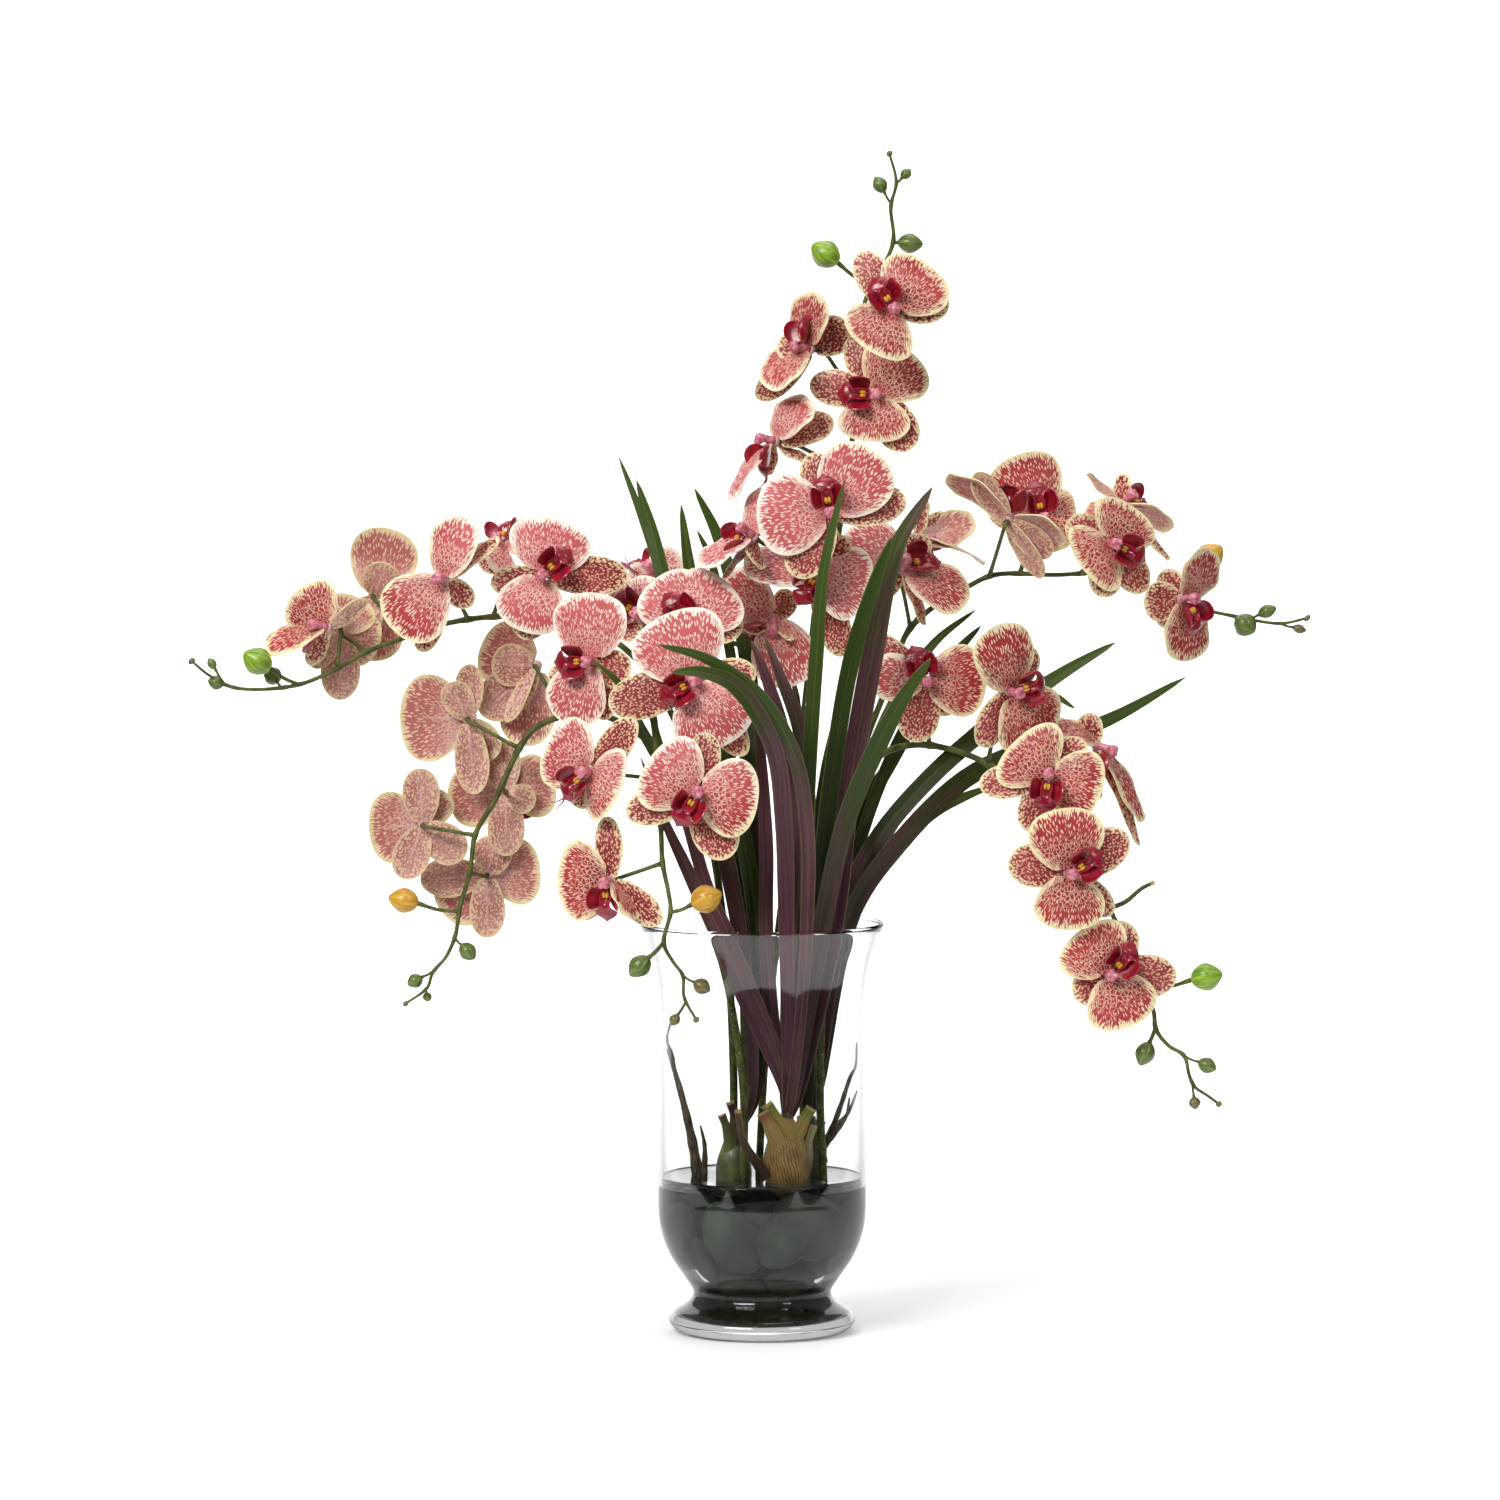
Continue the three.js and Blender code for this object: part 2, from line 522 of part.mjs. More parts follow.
function placed(right, up, depth) {
  const scale = (VIEW_DISTANCE + depth) / VIEW_DISTANCE;
  return new THREE.Vector3(right * scale, depth, EYE_HEIGHT + (up - EYE_HEIGHT) * scale);
}

// Closed solid from a list of points and triangles, turned to face outward
function solid(points, faces) {
  const flat = new Float32Array(points.length * 3);
  points.forEach((p, i) => flat.set([p.x, p.y, p.z], i * 3));
  let volume = 0;
  faces.forEach(([a, b, c]) => {
    volume += points[a].dot(new THREE.Vector3().crossVectors(points[b], points[c]));
  });
  const turned = volume < 0 ? faces.map(([a, b, c]) => [a, c, b]) : faces;
  const triVerts = new Uint32Array(turned.flat());
  return new wasm.Manifold(new wasm.Mesh({ numProp: 3, vertProperties: flat, triVerts }));
}

function fuse(list) {
  return list.reduce((sum, item) => sum.add(item));
}

// The largest connected body of a solid, with the scraps dropped
function largestBody(shape) {
  const mesh = shape.getMesh();
  const count = mesh.numVert;
  const parent = Array.from({ length: count }, (_, i) => i);
  const find = (i) => {
    while (parent[i] !== i) {
      parent[i] = parent[parent[i]];
      i = parent[i];
    }
    return i;
  };
  const tris = mesh.triVerts;
  for (let i = 0; i < tris.length; i += 3) {
    parent[find(tris[i])] = find(tris[i + 1]);
    parent[find(tris[i + 1])] = find(tris[i + 2]);
  }
  const size = new Map();
  for (let i = 0; i < tris.length; i += 3) {
    const key = find(tris[i]);
    size.set(key, (size.get(key) || 0) + 1);
  }
  const best = [...size].sort((a, b) => b[1] - a[1])[0][0];
  const points = [];
  const index = new Map();
  const faces = [];
  for (let i = 0; i < tris.length; i += 3) {
    if (find(tris[i]) !== best) continue;
    faces.push(
      [0, 1, 2].map((k) => {
        const v = tris[i + k];
        if (!index.has(v)) {
          index.set(v, points.length);
          points.push(new THREE.Vector3().fromArray(mesh.vertProperties, v * mesh.numProp));
        }
        return index.get(v);
      }),
    );
  }
  return solid(points, faces);
}

// Triangles between two rows of points, given as lists of point numbers
function zipRows(a, b) {
  const faces = [];
  let i = 0;
  let j = 0;
  while (i < a.length - 1 || j < b.length - 1) {
    const nextA = (i + 1) / Math.max(1, a.length - 1);
    const nextB = (j + 1) / Math.max(1, b.length - 1);
    if (j >= b.length - 1 || (i < a.length - 1 && nextA <= nextB)) {
      faces.push([a[i], a[i + 1], b[j]]);
      i += 1;
    } else {
      faces.push([a[i], b[j + 1], b[j]]);
      j += 1;
    }
  }
  return faces;
}

// Faces of a thin plate without its foot end: both faces carry the same triangles
function plateFaces(top, bottom) {
  const faces = [];
  for (let i = 0; i < top.length - 1; i += 1) {
    faces.push(...zipRows(top[i], top[i + 1]), ...zipRows(bottom[i], bottom[i + 1]));
    [0, -1].forEach((end) => {
      const [a, b, c, d] = [top[i].at(end), top[i + 1].at(end), bottom[i].at(end), bottom[i + 1].at(end)];
      faces.push([a, b, d], [a, d, c]);
    });
  }
  const [a, b] = [top.at(-1), bottom.at(-1)];
  for (let k = 0; k < a.length - 1; k += 1) faces.push([a[k], a[k + 1], b[k + 1]], [a[k], b[k + 1], b[k]]);
  return faces;
}

// Faces between two closed rings with their points listed by angle
function band(a, angleA, b, angleB) {
  const turn = (angle) => ((angle % (2 * Math.PI)) + 2 * Math.PI) % (2 * Math.PI);
  const order = (ring, angles) =>
    ring.map((point, k) => ({ point, angle: turn(angles[k]) })).sort((p, q) => p.angle - q.angle);
  const p = order(a, angleA);
  const q = order(b, angleB);
  const faces = [];
  let i = 0;
  let j = 0;
  while (i < p.length || j < q.length) {
    const nextP = i < p.length ? (i + 1 < p.length ? p[i + 1].angle : p[0].angle + 2 * Math.PI) : Infinity;
    const nextQ = j < q.length ? (j + 1 < q.length ? q[j + 1].angle : q[0].angle + 2 * Math.PI) : Infinity;
    const here = [p[i % p.length].point, q[j % q.length].point];
    if (nextP <= nextQ) {
      i += 1;
      faces.push([here[0], p[i % p.length].point, here[1]]);
    } else {
      j += 1;
      faces.push([here[0], q[j % q.length].point, here[1]]);
    }
  }
  return faces;
}

// The same faces turned so that neighbours agree
function oriented(faces) {
  const byEdge = new Map();
  faces.forEach((face, i) => {
    face.forEach((a, k) => {
      const b = face[(k + 1) % 3];
      const key = a < b ? `${a}_${b}` : `${b}_${a}`;
      byEdge.set(key, [...(byEdge.get(key) || []), i]);
    });
  });
  const done = new Array(faces.length).fill(null);
  done[0] = faces[0];
  const queue = [0];
  while (queue.length) {
    const face = done[queue.pop()];
    face.forEach((a, k) => {
      const b = face[(k + 1) % 3];
      const key = a < b ? `${a}_${b}` : `${b}_${a}`;
      byEdge.get(key).filter((i) => !done[i]).forEach((i) => {
        const other = faces[i];
        const same = other.some((c, m) => c === a && other[(m + 1) % 3] === b);
        done[i] = same ? [other[0], other[2], other[1]] : other;
        queue.push(i);
      });
    });
  }
  return done;
}

// Thin plate from rows of { p, n }
function plate(rows, thickness) {
  const points = [];
  const layer = (offset) =>
    rows.map((row) => row.map(({ p, n }) => points.push(p.clone().addScaledVector(n, offset)) - 1));
  const top = layer(thickness / 2);
  const bottom = layer(-thickness / 2);
  const faces = plateFaces(top, bottom);
  const [a, b] = [top[0], bottom[0]];
  for (let k = 0; k < a.length - 1; k += 1) faces.push([a[k], a[k + 1], b[k + 1]], [a[k], b[k + 1], b[k]]);
  return solid(points, oriented(faces));
}

// Points evenly spread on a smooth curve through the given points
function smoothPath(points, steps) {
  const curve = new THREE.CatmullRomCurve3(points, false, "centripetal");
  return Array.from({ length: steps + 1 }, (_, i) => curve.getPoint(i / steps));
}

// Tapering round stalk along a list of points
function tube(points, radii, sides) {
  const rings = [];
  let across = new THREE.Vector3(0.3, 1, 0.2);
  points.forEach((p, i) => {
    const ahead = points[Math.min(i + 1, points.length - 1)];
    const behind = points[Math.max(i - 1, 0)];
    const along = ahead.clone().sub(behind).normalize();
    across = across.clone().addScaledVector(along, -across.dot(along)).normalize();
    const other = along.clone().cross(across);
    const ring = [];
    for (let k = 0; k < sides; k += 1) {
      const angle = (2 * Math.PI * k) / sides;
      ring.push(
        p.clone()
          .addScaledVector(across, radii[i] * Math.cos(angle))
          .addScaledVector(other, radii[i] * Math.sin(angle)),
      );
    }
    rings.push(ring);
  });
  return skin(rings);
}

// Closed skin over rings of equal count, with flat ends
function skin(rings) {
  const sides = rings[0].length;
  const points = rings.flat();
  const faces = [];
  for (let i = 0; i < rings.length - 1; i += 1) {
    for (let k = 0; k < sides; k += 1) {
      const a = i * sides + k;
      const b = i * sides + ((k + 1) % sides);
      faces.push([a, b, b + sides], [a, b + sides, a + sides]);
    }
  }
  const end = (rings.length - 1) * sides;
  for (let k = 1; k < sides - 1; k += 1) {
    faces.push([0, k + 1, k], [end, end + k, end + k + 1]);
  }
  return solid(points, faces);
}

// Egg-shaped body about a centre, with its long axis along a direction
function egg(centre, axis, halfLength, halfWidth, around, rings) {
  const along = axis.clone().normalize();
  const seed = Math.abs(along.y) < 0.9 ? new THREE.Vector3(0, 1, 0) : new THREE.Vector3(1, 0, 0);
  const across = seed.addScaledVector(along, -seed.dot(along)).normalize();
  const other = along.clone().cross(across);
  return ellipsoid(
    centre,
    [across.multiplyScalar(halfWidth), other.multiplyScalar(halfWidth), along.multiplyScalar(halfLength)],
    around,
    rings,
  );
}

// Low-sided ellipsoid from three half-axis vectors; the third joins the two poles
function ellipsoid(centre, [u, v, w], around, rings, fit = () => {}) {
  const points = [centre.clone().sub(w), centre.clone().add(w)];
  const faces = [];
  for (let i = 1; i <= rings; i += 1) {
    const tall = -Math.cos((Math.PI * i) / (rings + 1));
    const wide = Math.sin((Math.PI * i) / (rings + 1));
    for (let k = 0; k < around; k += 1) {
      const angle = (2 * Math.PI * (k + 0.5 * (i % 2))) / around;
      points.push(
        centre.clone()
          .addScaledVector(u, wide * Math.cos(angle))
          .addScaledVector(v, wide * Math.sin(angle))
          .addScaledVector(w, tall),
      );
    }
  }
  points.forEach(fit);
  const at = (i, k) => 2 + (i - 1) * around + (k % around);
  for (let k = 0; k < around; k += 1) {
    faces.push([0, at(1, k + 1), at(1, k)], [1, at(rings, k), at(rings, k + 1)]);
    for (let i = 1; i < rings; i += 1) {
      if (i % 2) {
        faces.push([at(i, k), at(i, k + 1), at(i + 1, k + 1)], [at(i, k), at(i + 1, k + 1), at(i + 1, k)]);
      } else {
        faces.push([at(i, k), at(i, k + 1), at(i + 1, k)], [at(i, k + 1), at(i + 1, k + 1), at(i + 1, k)]);
      }
    }
  }
  return solid(points, faces);
}

// Turned body about an upright axis through (x, y); the outline is [radius, height] from foot to top
function turned(outline, x, y, sides) {
  const rings = outline.map(([radius, height]) =>
    Array.from({ length: sides }, (_, k) => {
      const angle = (2 * Math.PI * k) / sides;
      return new THREE.Vector3(x + radius * Math.cos(angle), y + radius * Math.sin(angle), height);
    }),
  );
  return skin(rings);
}

const TOWARDS_VIEWER = new THREE.Vector3(0, -1, 0);

// Unit vector the bloom faces
function facing([azimuth, elevation]) {
  const az = THREE.MathUtils.degToRad(azimuth);
  const el = THREE.MathUtils.degToRad(elevation);
  return new THREE.Vector3(
    Math.sin(az) * Math.cos(el),
    -Math.cos(az) * Math.cos(el),
    Math.sin(el),
  );
}

// Place on the sight line through (right, up) that lies in the plane through a point
function onPlane(right, up, centre, normal) {
  const eye = new THREE.Vector3(0, -VIEW_DISTANCE, EYE_HEIGHT);
  const ray = placed(right, up, 0).sub(eye);
  const reach = normal.dot(centre.clone().sub(eye)) / normal.dot(ray);
  return eye.addScaledVector(ray, reach);
}

// Length vector and face normal of a lobe
function lobeFrame(bloom, lobe) {
  const centre = seen(bloom.at);
  const face = facing(bloom.face);
  if (lobe.length < 5) {
    const tip = onPlane(lobe[0], lobe[1], centre, face);
    return { length: tip.sub(centre), normal: face };
  }
  const tip = placed(lobe[0], lobe[1], centre.y + lobe[3]);
  const length = tip.sub(centre);
  const along = length.clone().normalize();
  const front = TOWARDS_VIEWER.clone().addScaledVector(along, -TOWARDS_VIEWER.dot(along)).normalize();
  const left = TOWARDS_VIEWER.clone().cross(along).normalize();
  const tilt = THREE.MathUtils.degToRad(lobe[4]);
  const normal = front.multiplyScalar(Math.cos(tilt)).addScaledVector(left, Math.sin(tilt));
  return { length, normal };
}

// Outline of a lobe beyond its foot: [part of the length, part of the half width, points across]
const PETAL_OUTLINE = [[0.3, 0.72, 3], [0.68, 1, 3], [0.92, 0.58, 2], [1, 0, 1]];
const SEPAL_OUTLINE = [[0.38, 0.9, 2], [0.78, 0.78, 2], [1, 0, 1]];
const PETAL_LIFT = 2;
const SEPAL_LIFT = -4;
// Neighbours in a whorl lie one above the other by this much
const LEVEL_STEP = 1.3;
const CUPPING = 0.06;
const EDGE_CURL = 0.045;

// Lip: out of the face, down from the centre and half width, with the lift of its two side edges
const LIP_ROWS = [
  { out: 7.6, down: 11, half: 9, edge: 9.4 },
  { out: 10, down: 17, half: 4.5, edge: 1 },
  { out: 9.5, down: 21.5, half: 7.5, edge: -2.5 },
  { out: 4.5, down: 27.5, half: 0, edge: 0 },
];
const LIP_THICKNESS = 1.5;

// Whorl levels along the face: sepals behind, petals and lip in front of them
const SEPAL_LEVELS = [-HUB_BACK, -0.5];
const PETAL_LEVELS = [0.7, HUB_FRONT];
const FOOT_ANGLE = 26;

// Rows of points of a petal or sepal
function lobeRows(bloom, lobe, outline, lift) {
  const centre = seen(bloom.at);
  const { length, normal } = lobeFrame(bloom, lobe);
  const size = length.length();
  const side = normal.clone().cross(length).normalize();
  return outline.map(([along, half, count]) => {
    const steps = { 1: [0], 2: [-1, 1], 3: [-1, 0, 1] }[count];
    return steps.map((t) => {
      const rise = lift + CUPPING * size * Math.sin(Math.PI * along);
      const drop = EDGE_CURL * lobe[2] * t * t * half;
      const p = centre.clone()
        .addScaledVector(length, along)
        .addScaledVector(side, (t * half * lobe[2]) / 2)
        .addScaledVector(normal, rise - drop);
      return { p, n: normal };
    });
  });
}

// Rows of points of the lip: a folded blade with two raised side lobes and a pointed middle lobe
function lipRows(bloom, face, hang) {
  const centre = seen(bloom.at);
  const side = face.clone().cross(hang);
  return LIP_ROWS.map(({ out, down, half, edge }) => {
    const steps = half === 0 ? [0] : [-1, 0, 1];
    return steps.map((t) => {
      const p = centre.clone()
        .addScaledVector(face, out + edge * Math.abs(t))
        .addScaledVector(hang, down)
        .addScaledVector(side, t * half);
      const n = face.clone().addScaledVector(side, edge > 5 ? -1.4 * t : 0).normalize();
      return { p, n };
    });
  });
}

// One bloom as a single skin: a whorl of sepals, a whorl of petals with the lip, and the column
function makeBloom(bloom) {
  const centre = seen(bloom.at);
  const face = facing(bloom.face);
  const level = new THREE.Vector3(0, 0, 1);
  const right = level.clone().cross(face).normalize();
  const up = face.clone().cross(right);
  const points = [];
  const faces = [];
  const put = (p) => points.push(p) - 1;
  const angleOf = (direction) => Math.atan2(direction.dot(up), direction.dot(right));

  const whorl = (lobes, [low, high]) => {
    const sorted = lobes.sort((a, b) => a.angle - b.angle);
    const foot = THREE.MathUtils.degToRad(FOOT_ANGLE);
    const gaps = sorted.map((lobe, i) => {
      const next = sorted[(i + 1) % sorted.length];
      return (next.angle - lobe.angle + (i === sorted.length - 1 ? 2 * Math.PI : 0)) / 2;
    });
    const lowRing = [];
    const highRing = [];
    sorted.forEach((lobe, i) => {
      const before = gaps[(i + sorted.length - 1) % sorted.length];
      const spread = [-Math.min(foot, before * 0.8), Math.min(foot, gaps[i] * 0.8)];
      const corner = (height, turn) =>
        put(
          centre.clone()
            .addScaledVector(face, height)
            .addScaledVector(right, HUB_RADIUS * Math.cos(lobe.angle + turn))
            .addScaledVector(up, HUB_RADIUS * Math.sin(lobe.angle + turn)),
        );
      const top = [spread.map((turn) => corner(high, turn))];
      const bottom = [spread.map((turn) => corner(low, turn))];
      lowRing.push(...bottom[0]);
      highRing.push(...top[0]);
      lobe.rows.forEach((row) => {
        top.push(row.map(({ p, n }) => put(p.clone().addScaledVector(n, lobe.thickness / 2))));
        bottom.push(row.map(({ p, n }) => put(p.clone().addScaledVector(n, -lobe.thickness / 2))));
      });
      faces.push(...plateFaces(top, bottom));
    });
    for (let k = 1; k < lowRing.length; k += 2) {
      const next = (k + 1) % lowRing.length;
      faces.push([lowRing[k], lowRing[next], highRing[next]], [lowRing[k], highRing[next], highRing[k]]);
    }
    return [lowRing, highRing];
  };

  const sepals = bloom.sepals.map((lobe, i) => ({
    angle: angleOf(lobeFrame(bloom, lobe).length),
    rows: lobeRows(bloom, lobe, SEPAL_OUTLINE, SEPAL_LIFT - i * LEVEL_STEP),
    thickness: SEPAL_THICKNESS,
  }));
  const petals = bloom.petals.map((lobe, i) => ({
    angle: angleOf(lobeFrame(bloom, lobe).length),
    rows: lobeRows(bloom, lobe, PETAL_OUTLINE, PETAL_LIFT + i * LEVEL_STEP),
    thickness: PETAL_THICKNESS,
  }));
  if (bloom.lip !== null) {
    const angle = THREE.MathUtils.degToRad(bloom.lip);
    const hang = new THREE.Vector3(Math.cos(angle), 0, Math.sin(angle));
    hang.addScaledVector(face, -hang.dot(face)).normalize();
    petals.push({ angle: angleOf(hang), rows: lipRows(bloom, face, hang), thickness: LIP_THICKNESS });
  }
  const [backLow, backHigh] = whorl(sepals, SEPAL_LEVELS);
  const [frontLow, frontHigh] = whorl(petals, PETAL_LEVELS);
  const ringAngles = (ring) => ring.map((i) => angleOf(points[i].clone().sub(centre)));
  faces.push(...band(backHigh, ringAngles(backHigh), frontLow, ringAngles(frontLow)));

  const columnRing = (height, radius) =>
    [0, 1, 2, 3, 4].map((k) =>
      put(
        centre.clone()
          .addScaledVector(face, height)
          .addScaledVector(right, radius * Math.cos((2 * Math.PI * k) / 5))
          .addScaledVector(up, radius * Math.sin((2 * Math.PI * k) / 5)),
      ),
    );
  const columnFoot = columnRing(HUB_FRONT + 1.5, 2.8);
  const columnTop = columnRing(15, 3.8);
  faces.push(...band(frontHigh, ringAngles(frontHigh), columnFoot, ringAngles(columnFoot)));
  faces.push(...band(columnFoot, ringAngles(columnFoot), columnTop, ringAngles(columnTop)));
  [backLow, columnTop].forEach((ring) => {
    for (let k = 1; k < ring.length - 1; k += 1) faces.push([ring[0], ring[k], ring[k + 1]]);
  });
  return solid(points, oriented(faces));
}

// Point of a path nearest to a place
function nearestOn(path, place) {
  let best = path[0];
  for (let i = 0; i < path.length - 1; i += 1) {
    const near = new THREE.Line3(path[i], path[i + 1]).closestPointToPoint(place, true, new THREE.Vector3());
    if (near.distanceTo(place) < best.distanceTo(place)) best = near;
  }
  return best;
}

// Flower stalk from the spray to the back of a bloom
function flowerStalk(bloom, path) {
  const start = nearestOn(path, seen(bloom.stalk));
  const face = facing(bloom.face);
  const end = seen(bloom.at).addScaledVector(face, -HUB_BACK - FIT_GAP);
  const bend = end.clone().addScaledVector(face, -9);
  return tube([start, bend, end], [1.9, 1.7, 1.7], 3);
}

// Bud and its stalk as one skin
function budWithStalk([right, up, depth, long, wide, from], path) {
  const centre = seen([right, up, depth]);
  const start = nearestOn(path, seen(from));
  const away = centre.clone().sub(start).normalize();
  const thick = wide > 14 ? 1.7 : 1.1;
  const profile = [[-0.46, thick], [-0.2, 0.45 * wide], [0.2, 0.47 * wide], [0.5, 0.05 * wide]];
  const line = profile.map(([along]) => centre.clone().addScaledVector(away, along * long));
  return tube([start, ...line], [thick, ...profile.map(([, radius]) => radius)], wide > 12 ? 5 : 4);
}

function makeSpray(name, spray) {
  const path = smoothPath(spray.path.map(seen), spray.path.length);
  const [first, last] = spray.radius;
  const radii = path.map((_, i) => first + ((last - first) * i) / (path.length - 1));
  const parts = [tube(path, radii, 4)];
  const letter = name.slice(-1);
  Object.entries(BLOOMS).forEach(([bloomName, bloom]) => {
    if (bloomName[6] === letter) parts.push(flowerStalk(bloom, path));
  });
  spray.buds.forEach((bud) => parts.push(budWithStalk(bud, path)));
  const [long, wide] = spray.tip;
  parts.push(egg(path.at(-1), new THREE.Vector3(1, 0, 1), long / 2, wide / 2, 4, 2));
  if (spray.stub) {
    const stub = spray.stub.map(seen);
    stub[0] = nearestOn(path, stub[0]);
    parts.push(tube(stub, [2, 1.8, 1.6, 1.4], 4));
  }
  return fuse(parts);
}

// Strap leaf blade
function blade([path, width, turn]) {
  const line = smoothPath(path.map(seen), path.length - 1);
  const steps = line.length - 1;
  const rows = line.map((p, i) => {
    const along = line[Math.min(i + 1, steps)].clone().sub(line[Math.max(i - 1, 0)]).normalize();
    const front = TOWARDS_VIEWER.clone().addScaledVector(along, -TOWARDS_VIEWER.dot(along)).normalize();
    const left = front.clone().cross(along);
    const angle = THREE.MathUtils.degToRad(turn);
    const normal = front.clone().multiplyScalar(Math.cos(angle)).addScaledVector(left, Math.sin(angle));
    const side = normal.clone().cross(along).normalize();
    const s = i / steps;
    const half = (width / 2) * Math.min(1, 0.62 + 1.1 * s) * Math.min(1, Math.sqrt((1 - s) / 0.32));
    const across = i === steps ? [0] : [-1, 1];
    return across.map((t) => ({ p: p.clone().addScaledVector(side, t * half), n: normal }));
  });
  return plate(rows, LEAF_THICKNESS);
}

function makeLeaves({ collar, blades }) {
  const [carrier, high, radius] = collar;
  const { at, outline } = BULBS[carrier];
  const top = seen(high);
  const foot = new THREE.Vector3(seen([at[0], WATER_LEVEL, at[1]]).x, at[1], outline.at(-1)[1] + FIT_GAP);
  const ring = (centre, size) =>
    [0, 1, 2, 3, 4, 5].map((k) => {
      const angle = (Math.PI * k) / 3;
      return centre.clone().add(new THREE.Vector3(size * Math.cos(angle), size * Math.sin(angle), 0));
    });
  const parts = [skin([ring(foot, radius), ring(top, radius * 0.8)])];
  blades.forEach((item) => parts.push(blade(item)));
  return fuse(parts);
}

function makeBulb({ at, outline, sheaths }) {
  const [right, depth] = at;
  const x = seen([right, WATER_LEVEL, depth]).x;
  const parts = [turned(outline, x, depth, 8)];
  sheaths.forEach(([foot, tip, width]) => {
    const a = seen(foot);
    const b = seen(tip);
    const along = b.clone().sub(a);
    const side = TOWARDS_VIEWER.clone().cross(along).normalize();
    const rows = [[0, 0.5], [0.55, 0.42], [1, 0.12]].map(([s, half]) =>
      [-1, 1].map((t) => ({
        p: a.clone().addScaledVector(along, s).addScaledVector(side, t * half * width),
        n: TOWARDS_VIEWER,
      })),
    );
    parts.push(plate(rows, 2));
  });
  return fuse(parts);
}

function makeRoot(branches) {
  return fuse(
    branches.map(([path, thick, thin]) => {
      const line = smoothPath(path.map(seen), path.length);
      const radii = line.map((_, i) => thick + ((thin - thick) * i) / (line.length - 1));
      return tube(line, radii, 4);
    }),
  );
}

// Draws a point in to a clear distance from the glass
function insideGlass(p, clear) {
  const rows = [...VASE_INSIDE].reverse();
  const above = Math.max(1, rows.findIndex(([, height]) => height >= p.z));
  const [low, high] = [rows[above - 1], rows[above]];
  const share = THREE.MathUtils.clamp((p.z - low[1]) / (high[1] - low[1]), 0, 1);
  const limit = (low[0] + (high[0] - low[0]) * share) * Math.cos(Math.PI / VASE_SIDES) - clear;
  const radius = Math.hypot(p.x, p.y);
  if (radius > limit) {
    p.x *= limit / radius;
    p.y *= limit / radius;
  }
}

function makeStones(grow) {
  const stones = STONES.map(([place, long, wide, deep, lean]) => {
    const angle = THREE.MathUtils.degToRad(lean);
    const along = new THREE.Vector3(Math.cos(angle), 0, Math.sin(angle));
    const across = new THREE.Vector3(-Math.sin(angle), 0, Math.cos(angle));
    const axes = [
      across.multiplyScalar(wide + grow),
      new THREE.Vector3(0, deep + grow, 0),
      along.multiplyScalar(long + grow),
    ];
    return ellipsoid(seen(place), axes, 7, 2, (p) => insideGlass(p, STONE_GAP - grow));
  });
  const room = vaseRoom(STONE_GAP - grow, GLASS_FLOOR + FIT_GAP - grow, WATER_LEVEL);
  return fuse(stones).intersect(room);
}

// Room inside the glass up to a height, set in from the wall
function vaseRoom(inset, floor, top) {
  const outline = VASE_INSIDE.slice()
    .reverse()
    .filter(([, height]) => height < top)
    .map(([radius, height], i) => [radius - inset, i === 0 ? floor : height]);
  outline.push([75 - inset, top]);
  return turned(outline, 0, 0, VASE_SIDES);
}

function makeVase() {
  const rings = [...VASE_OUTSIDE, ...VASE_INSIDE];
  const points = [];
  const faces = [];
  rings.forEach(([radius, height]) => {
    for (let k = 0; k < VASE_SIDES; k += 1) {
      const angle = (2 * Math.PI * k) / VASE_SIDES;
      points.push(new THREE.Vector3(radius * Math.cos(angle), radius * Math.sin(angle), height));
    }
  });
  for (let i = 0; i < rings.length - 1; i += 1) {
    for (let k = 0; k < VASE_SIDES; k += 1) {
      const a = i * VASE_SIDES + k;
      const b = i * VASE_SIDES + ((k + 1) % VASE_SIDES);
      faces.push([a, b, b + VASE_SIDES], [a, b + VASE_SIDES, a + VASE_SIDES]);
    }
  }
  const foot = points.push(new THREE.Vector3(9, 5, 0)) - 1;
  const floor = points.push(new THREE.Vector3(0, 0, GLASS_FLOOR)) - 1;
  const last = (rings.length - 1) * VASE_SIDES;
  for (let k = 0; k < VASE_SIDES; k += 1) {
    faces.push([foot, (k + 1) % VASE_SIDES, k]);
    faces.push([floor, last + k, last + ((k + 1) % VASE_SIDES)]);
  }
  return solid(points, faces);
}

// Holes in the water for whatever stands in it
function standingHoles() {
  const holes = [];
  Object.values(SPRAYS).forEach(({ path, radius }) => {
    const line = smoothPath(path.map(seen), path.length).slice(0, 2);
    const grown = [...line];
    grown[0] = line[0].clone().add(new THREE.Vector3(0, 0, -0.5));
    holes.push(tube(grown, grown.map(() => radius[0] + 0.6), 6));
  });
  Object.values(BULBS).forEach(({ at, outline }) => {
    const x = seen([at[0], WATER_LEVEL, at[1]]).x;
    const grown = outline.map(([radius, height], i) => [radius + 0.6, i === 0 ? height - 0.4 : height]);
    holes.push(turned(grown, x, at[1], 8));
  });
  ROOTS.root_left.filter(([path]) => path[0][1] < WATER_LEVEL).forEach(([path, thick]) => {
    const line = path.slice(0, 2).map(seen);
    line[0].z -= 0.5;
    holes.push(tube(line, [thick + 1.2, thick + 1.2], 6));
  });
  return holes;
}

function makeWater() {
  let body = vaseRoom(WATER_GAP, GLASS_FLOOR + FIT_GAP, WATER_LEVEL);
  body = body.subtract(makeStones(FIT_GAP));
  standingHoles().forEach((hole) => {
    body = body.subtract(hole);
  });
  return largestBody(body);
}

const group = new THREE.Group();
group.name = "cymbidium_orchid_in_vase";

